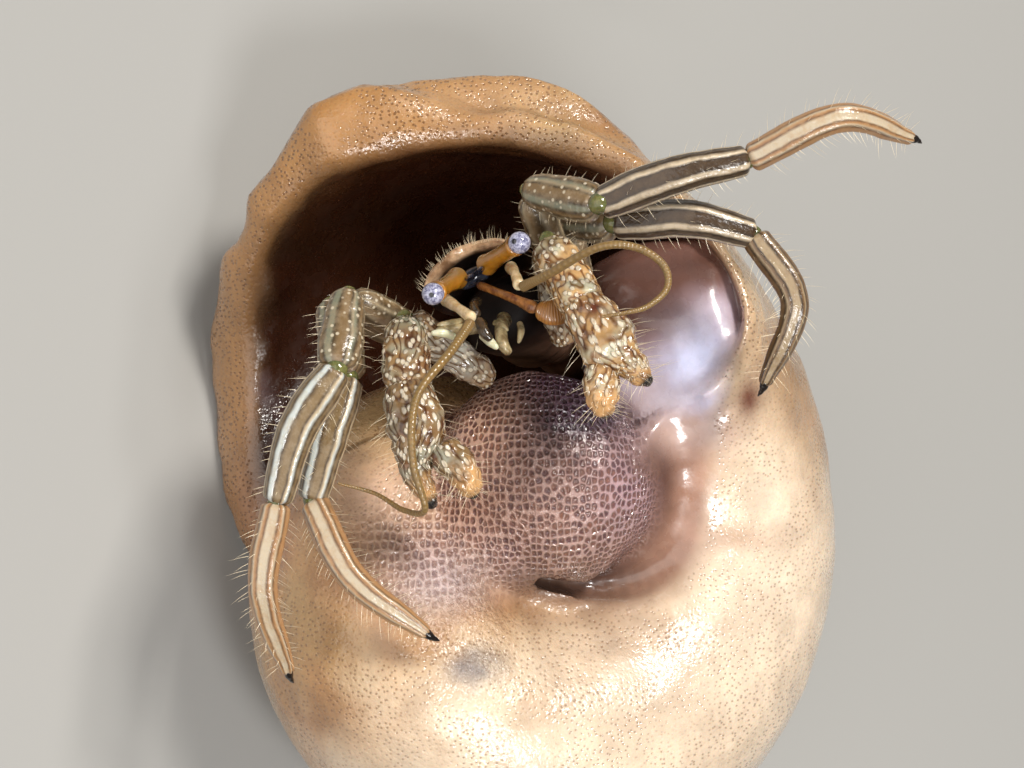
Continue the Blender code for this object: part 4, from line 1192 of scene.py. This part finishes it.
SHAFTS = {
    "left": striped_finish(
        "leg shaft left",
        stripe_stops((0.050, 0.026, 0.010), (0.60, 0.49, 0.35), (0.030, 0.017, 0.008), (0.46, 0.37, 0.26)),
        (0.11, 0.068, 0.032), 0.3),
    "right": striped_finish(
        "leg shaft right",
        stripe_stops((0.20, 0.13, 0.058), (0.50, 0.39, 0.25), (0.060, 0.036, 0.017), (0.52, 0.55, 0.52)),
        (0.36, 0.28, 0.18), 0.35),
}
FOOT = striped_finish(
    "leg end", foot_stops((0.38, 0.20, 0.085), (0.14, 0.070, 0.030), (0.50, 0.41, 0.29)),
    (0.42, 0.25, 0.12), 0.4)
DARK_FOOT = striped_finish(
    "leg end dark", foot_stops((0.15, 0.082, 0.034), (0.030, 0.017, 0.009), (0.34, 0.25, 0.15)),
    (0.20, 0.12, 0.055), 0.4)
KNEE = striped_finish(
    "leg knee",
    stripe_stops((0.19, 0.120, 0.055), (0.30, 0.24, 0.15), (0.055, 0.036, 0.018), (0.19, 0.19, 0.13)),
    (0.36, 0.27, 0.17), 0.4, dots=0.8)
TIP = wet_finish("horny tip", (0.018, 0.010, 0.006), (0.006, 0.004, 0.003), 2000.0, 0.15, 0.0)
JOINT_SKIN = wet_finish("joint skin", (0.17, 0.17, 0.055), (0.08, 0.085, 0.03), 1500.0, 0.15, 0.5)


def granules(f, turn, point):
    cell = noise.voronoi(point * 2.6)[0]
    return 0.08 * max(0.0, 1.0 - 2.6 * cell[0]) + 0.03 * noise.noise(point * 1.3)


def ridges(f, turn, point):
    """Low lengthwise ridges that follow the stripes, with a fine grain."""
    return 0.035 * math.cos(6.0 * turn) + 0.02 * noise.noise(point * 2.0)


def joint_balls(name, places):
    made = [ball(name, middle, radii, 20, 14) for middle, radii in places]
    bpy.ops.object.select_all(action="DESELECT")
    for piece in made:
        piece.select_set(True)
    bpy.context.view_layer.objects.active = made[0]
    bpy.ops.object.join()
    dress(made[0], JOINT_SKIN, [])


def edge_rows(limb, count, salt, turns, length, lean=0.35, start=0.05, stop=0.97, jitter=0.25):
    """Bristles in rows along a limb, each row at a turn round it, leaning toward the tip."""
    hairs = []
    for row, turn in enumerate(turns):
        for i in range(count):
            key = i + 97 * row + salt * 131
            f = start + (stop - start) * (i + spread_number(key, 1.0)) / count
            angle = turn + jitter * (spread_number(key, 2.0) - 0.5) * 2.0
            point, outward, along = limb.at(f, angle)
            way = outward + along * (lean + 0.5 * (spread_number(key, 3.0) - 0.5))
            way = way + along.cross(outward) * (0.7 * (spread_number(key, 4.0) - 0.5))
            size = length * (0.45 + 0.75 * spread_number(key, 5.0) ** 1.5)
            place = (0.04 + 0.9 * ((angle / math.tau) % 1.0), 0.04 + 0.9 * f)
            hairs.append((point, way, size, along * 0.10, place))
    return hairs


def shortened(a, b, at_a, at_b):
    """The straight piece from a to b with this much taken off each end: its start, middle and stop."""
    along = (b - a).normalized()
    start, stop = a + along * at_a, b - along * at_b
    return [start, (start + stop) / 2, stop]


def make_leg(number, name):
    hip, knee, ankle, bow, wrist, arch, toe = [Vector(p) for p in LEG_JOINTS[name]]
    merus = Limb(shortened(body_point(*hip), knee, 0.0, 0.25), [1.3, 2.0, 2.1, 1.8], [1.2, 1.5, 1.6, 1.4],
                 CRAB_BACK, (0.05, 0.12), 0.04)
    carpus = Limb(shortened(knee, ankle, -0.25, -0.1), [1.7, 2.2, 2.45, 2.1], [1.5, 1.7, 1.85, 1.6],
                  TO_VIEWER, (0.14, 0.1), 0.05)
    start = ankle - (bow - ankle).normalized() * 0.05
    stop = wrist + (wrist - bow).normalized() * 0.12
    propodus = Limb([start, bow, stop], [1.8, 2.15, 2.05, 1.85, 1.6], [1.5, 1.6, 1.5, 1.4, 1.3],
                    TO_VIEWER, (0.05, 0.05), 0.06)
    start = wrist + (arch - wrist).normalized() * 0.02
    dactyl = Limb([start, arch, toe], [1.55, 1.66, 1.5, 1.3, 0.74], [1.2, 1.2, 1.1, 1.0, 0.62],
                  TO_VIEWER, (0.04, 0.04), 0.06)
    onward = (toe - arch).normalized()
    curl = (arch - (wrist + toe) / 2).normalized() * -1.0
    claw = Limb([toe - onward * 0.25, toe + onward * 0.2, toe + onward * 0.62 + curl * 0.14],
                [0.60, 0.48, 0.28, 0.08], [0.54, 0.44, 0.26, 0.08], TO_VIEWER, (0.1, 0.1))
    foot = DARK_FOOT if name == "leg_3_left" else FOOT
    for segment, limb, columns, rows, shape, finish, slot in (
        ("merus", merus, 36, 48, granules, KNEE, "leg"),
        ("carpus", carpus, 40, 48, granules, KNEE, "leg"),
        ("propodus", propodus, 40, 60, ridges, SHAFTS[name.split("_")[2]], "leg"),
        ("dactyl", dactyl, 36, 70, ridges, foot, "leg"),
        ("claw", claw, 18, 22, None, TIP, "horn"),
    ):
        dress(limb.roll(name + " " + segment, columns, rows, shape), finish, [name + "_" + segment])
    joint_balls(name + " joint skin", [
        (knee, (0.5, 0.45, 0.45)),
        (ankle + TO_VIEWER * (0.42 if name == "leg_2_left" else 0.15), (0.62, 0.55, 0.62)),
        (wrist, (0.50, 0.44, 0.50)),
    ])
    hairs = []
    for limb, count, salt, turns, length, lean in (
        (dactyl, 26, 0, (0.0, math.pi), 1.05, 0.5),
        (dactyl, 9, 9, (1.0, 2.2), 0.6, 0.6),
        (propodus, 15, 3, (0.1, math.pi - 0.1), 0.85, 0.4),
        (propodus, 5, 5, (1.5,), 0.5, 0.6),
        (carpus, 10, 6, (0.2, math.pi - 0.2), 0.8, 0.3),
        (merus, 10, 7, (0.4, 2.6), 0.8, 0.3),
    ):
        hairs += edge_rows(limb, count, number + salt, turns, length, lean)
    bristles(name + " bristles", hairs, 0.028)


for number, name in enumerate(LEG_JOINTS):
    make_leg(number, name)

# ---------------------------------------------------------------- the two small hidden pairs of legs
# Behind the walking legs two short pairs brace the crab against the inside of its shell. They are soft
# horn, and grow from the sides of the rear carapace.
BRACING_LEGS = (
    ("4", ((3.35, -0.6, 8.2), (3.9, 0.1, 6.9), (4.1, 0.5, 5.4)),
     [0.9, 1.1, 0.9, 0.7], [0.8, 0.9, 0.8, 0.6], CRAB_BACK),
    ("5", ((2.2, 1.75, 10.2), (2.6, 2.1, 8.8), (2.4, 2.3, 7.4)),
     [0.8, 0.8, 0.7, 0.5], [0.7, 0.7, 0.6, 0.5], CRAB_LEFT),
)
for side, sign in (("right", -1), ("left", 1)):
    for pair, path, widths, depths, facing in BRACING_LEGS:
        points = [body_point(sign * out, up, back) for out, up, back in path]
        limb = Limb(points, widths, depths, facing, (0.08, 0.08))
        dress(limb.roll("leg " + pair + " " + side, 20, 30), KNEE, ["leg_" + pair + "_" + side])

# ---------------------------------------------------------------- pincers
# The two small pincer arms hang in front of the mouth. Cream and pale blue granules stand in a rusty-brown
# net all over them; the finger ends are orange-tan with black spoon-shaped edges. Bristles all over.
PINCERS = {
    "right": (body_point(-2.3, -4.6, 2.4), (-5.9, -1.4, 3.6), (-5.5, -4.7, -0.3), (-5.05, -5.3, -2.4),
              ((-5.1, -5.5, -4.4), (-4.1, -5.4, -6.55)),
              (-3.35, -5.6, -3.45), ((-2.5, -5.8, -4.8), (-1.9, -5.7, -6.0))),
    "left": (body_point(2.4, -4.6, 2.6), (1.95, -1.4, 7.9), (3.75, -5.1, 4.1), (5.15, -6.0, 2.0),
             ((6.2, -6.3, 0.95), (7.15, -6.6, -0.1)),
             (4.45, -6.3, 0.55), ((4.65, -6.5, -0.75), (4.9, -6.5, -1.8))),
}
GRANULE = (0.74, 0.65, 0.50)
RUST = (0.17, 0.072, 0.022)
GROUND = (0.33, 0.195, 0.080)
BLUE_GROUND = (0.40, 0.40, 0.30)
FINGER_TAN = (0.60, 0.34, 0.14)
BLOOD = (0.10, 0.022, 0.010)
BLACK_EDGE = (0.012, 0.008, 0.006)
PALE_MERUS = (0.40, 0.40, 0.36)
GREEN_ELBOW = (0.16, 0.19, 0.14)
BLOOD_SPOTS = {"left": ((4.3, -6.3, 3.9), 0.55, BLOOD, 1.1), "right": ((-5.0, -5.7, 0.6), 0.4, BLOOD, 0.5)}
TURNS = tuple(math.tau * k / 9.0 for k in range(9))


def pincer_finish():
    """Pale ground crossed by brown loops, with paler granules, over the colours and map of each piece."""
    finish = Finish("pincer granules")
    tint = finish.layer("tint")
    hills = finish.nodes.new("ShaderNodeTexNoise")
    hills.noise_dimensions = "2D"
    hills.inputs["Detail"].default_value = 2.0
    hills.inputs["Roughness"].default_value = 0.4
    finish.on_map(hills, "net", (0.62, 0.30))
    wave = finish.sums("ABSOLUTE", finish.sums("SINE", finish.times(hills.outputs[0], 24.0)))
    loops = finish.ramp(wave, (0.12, 0.0), (0.80, 1.0))
    dot = finish.ramp(finish.map_cells("net", "F1", 0.95, (2.3, 1.8)), (0.20, 1.0), (0.34, 0.0))
    ground = finish.mixed(loops, finish.mixed(1.0, tint, (0.33, 0.20, 0.10), "MULTIPLY"), tint)
    dotted = finish.mixed(finish.times(dot, 0.8), ground, GRANULE)
    fine = finish.times(finish.clouds(3200.0), 0.5)
    finish.bump(finish.plus(finish.plus(dot, finish.times(loops, 0.4)), fine), 0.00007)
    finish.gloss(0.26, 0.6, 0.08, 0.15)
    return finish.colour(finish.mixed(finish.split_layer("mat")[0], tint, dotted))


PINCER = pincer_finish()


def paint_pincer(obj, tip_share, patches, light):
    """Pale ground with blue-green places scaled by painted light, tan finger ends with a rusty tone, and
    black edges where told.
    """
    points, where = corner_points(obj)
    blue = np.clip(1.6 * lumps(points + 7.0, 1.3) - 0.1, 0.0, 0.8)
    colours = layered(all_over(GROUND, len(points)), (blue, BLUE_GROUND)) * light
    tip = unit((where[:, 1] - tip_share) * 6.0)
    rusty = np.clip(-0.2 - 1.6 * lumps(points, 1.1), 0.0, 0.7)
    colours = layered(
        colours,
        (2.6 * lumps(points - 4.0, 0.9) - 0.2, (0.21, 0.10, 0.040)),
        (tip, layered(all_over(FINGER_TAN, len(points)), (rusty, RUST))),
    )
    if tip_share < 1.0:
        colours = layered(colours, ((where[:, 1] - 0.84) * 16.0, BLACK_EDGE))
    marked = np.zeros(len(points))
    for middle, reach, colour, strength in patches:
        share = strength * blob(points, middle, (reach, reach, reach))
        colours = layered(colours, (share, colour))
        marked = np.maximum(marked, share if colour == BLOOD else 0.0)
    paint(obj, "tint", colours)
    pattern = (1.0 - 0.85 * tip) * (1.0 - np.clip(marked, 0.0, 0.85))
    paint(obj, "mat", np.column_stack([pattern, tip, tip]))


def grainy(f, turn, point):
    return 0.15 * noise.noise(point * 1.1) + 0.09 * noise.noise(point * 3.2)


def arm_part(side, part, limb, columns, rows, tip_share=2.0, patches=(), light=1.0):
    obj = limb.roll("pincer " + side + " " + part, columns, rows, grainy)
    paint_pincer(obj, tip_share, patches, light)
    length = sum((limb.points[i + 1] - limb.points[i]).length for i in range(len(limb.points) - 1))
    _, where = corner_points(obj)
    round_it = math.pi * max(limb.widths) * 0.9
    add_map(obj, "net", where * np.array((round_it, length)) + np.array((limb.points[0].x, 0.0)))
    dress(obj, PINCER, ["claw_" + side + "_" + part])


for number, (side, joints) in enumerate(PINCERS.items()):
    shoulder, elbow, wrist, palm_end, hinge = [Vector(joints[i]) for i in (0, 1, 2, 3, 5)]
    thumb, finger = joints[4], joints[6]
    # Painted light: each piece's ground is scaled, lighter on the left pincer and darker on the right, the
    # hand at 0.78 of its carpus.
    light = 1.65 if side == "left" else 0.9
    upper = shortened(shoulder, elbow, 0.0, 0.2)
    merus = Limb(upper, [1.4, 2.0, 2.1, 1.9], [1.3, 1.7, 1.8, 1.6], TO_VIEWER, (0.05, 0.1), 0.05)
    arm_part(side, "merus", merus, 54, 60, patches=((upper[1], 2.2, PALE_MERUS, 0.8),))
    carpus = Limb(shortened(elbow, wrist, 0.0, -0.25), [1.9, 2.4, 2.6, 2.3], [1.65, 2.1, 2.2, 2.0],
                  TO_VIEWER, (0.2, 0.08), 0.06)
    patch = BLOOD_SPOTS[side]
    green = (elbow + TO_VIEWER * 1.2, 1.1, GREEN_ELBOW, 0.7)
    arm_part(side, "carpus", carpus, 80, 84, patches=(patch, green), light=light)
    start, _, stop = shortened(wrist, palm_end, -0.45, 0.0)
    palm = Limb([start, stop] + list(thumb), [2.3, 2.9, 3.2, 2.3, 1.75, 1.25, 0.55],
                [2.0, 2.3, 2.4, 1.9, 1.5, 1.2, 0.65], TO_VIEWER, (0.05, 0.05), 0.05)
    arm_part(side, "palm", palm, 96, 120, 0.66, patches=(patch,), light=0.78 * light)
    root = hinge + (palm_end - hinge).normalized() * 0.55
    nib = Limb([root] + list(finger), [1.7, 2.0, 1.75, 1.3, 0.6], [1.4, 1.6, 1.4, 1.05, 0.5],
               TO_VIEWER, (0.08, 0.06), 0.04)
    arm_part(side, "finger", nib, 72, 76, 0.35, light=0.78 * light)
    joint_balls("pincer " + side + " joint skin", [
        (elbow, (0.5, 0.46, 0.5)),
        (wrist, (0.5, 0.42, 0.42)),
    ])
    hairs = []
    for limb, count, salt, rows, length, lean, start, stop in (
        (palm, 9, 20, 9, 1.5, 0.45, 0.15, 0.95),
        (nib, 6, 24, 8, 1.1, 0.5, 0.2, 0.95),
        (carpus, 4, 28, 9, 0.9, 0.3, 0.1, 0.9),
        (merus, 4, 32, 6, 0.8, 0.3, 0.2, 0.9),
    ):
        hairs += edge_rows(limb, count, number + salt, TURNS[:rows], length, lean, start, stop, 0.35)
    bristles("pincer " + side + " bristles", hairs, 0.026)

# ---------------------------------------------------------------- the stage
# A plain pale floor, a soft light from the upper right with a broad fill and a small glint, and the
# camera in front of the crab.
FLOOR_GREY = (0.36, 0.355, 0.34)
CAMERA_PLACE = (0.0, -95.0, 0.0)
LAMPS = (
    ("key", (170.0, -230.0, 190.0), 0.07, 1.15, (1.0, 0.96, 0.90)),
    ("fill", (-150.0, -300.0, -10.0), 0.40, 0.66, (1.0, 0.97, 0.94)),
    ("glint", (60.0, -150.0, -60.0), 0.04, 0.16, (1.0, 1.0, 1.0)),
)
bpy.ops.object.select_all(action="DESELECT")
bpy.ops.mesh.primitive_plane_add(size=3.0, location=(0.0, 0.0, 0.0))
floor = bpy.context.active_object
floor.name = "floor"
matt = Finish("stage")
matt.gloss(0.85)
floor.data.materials.append(matt.colour(FLOOR_GREY))

for name, place, size, power, colour in LAMPS:
    data = bpy.data.lights.new(name, "AREA")
    data.shape = "SQUARE"
    data.size = size
    data.energy = power
    data.color = colour
    lamp = bpy.data.objects.new(name, data)
    lamp.location = rested([place])[0]
    aim = Vector(rested([(0.0, 0.0, 0.0)])[0]) - lamp.location
    lamp.rotation_euler = aim.to_track_quat("-Z", "Y").to_euler()
    bpy.context.scene.collection.objects.link(lamp)
world = bpy.data.worlds.new("studio")
bpy.context.scene.world = world
world.use_nodes = True
background = world.node_tree.nodes["Background"]
background.inputs[0].default_value = (0.84, 0.82, 0.80, 1.0)
background.inputs[1].default_value = 0.20
bpy.context.scene.view_settings.view_transform = "Standard"

camera_data = bpy.data.cameras.new("camera")
camera_data.lens = 60.0
camera_data.sensor_width = 36.0
camera_data.clip_start = 0.001
camera = bpy.data.objects.new("camera", camera_data)
camera.location = rested([CAMERA_PLACE])[0]
camera.rotation_euler = (REST_TURN @ Euler((math.radians(90.0), 0.0, 0.0)).to_matrix()).to_euler()
bpy.context.scene.collection.objects.link(camera)
bpy.context.scene.camera = camera

bpy.context.view_layer.update()
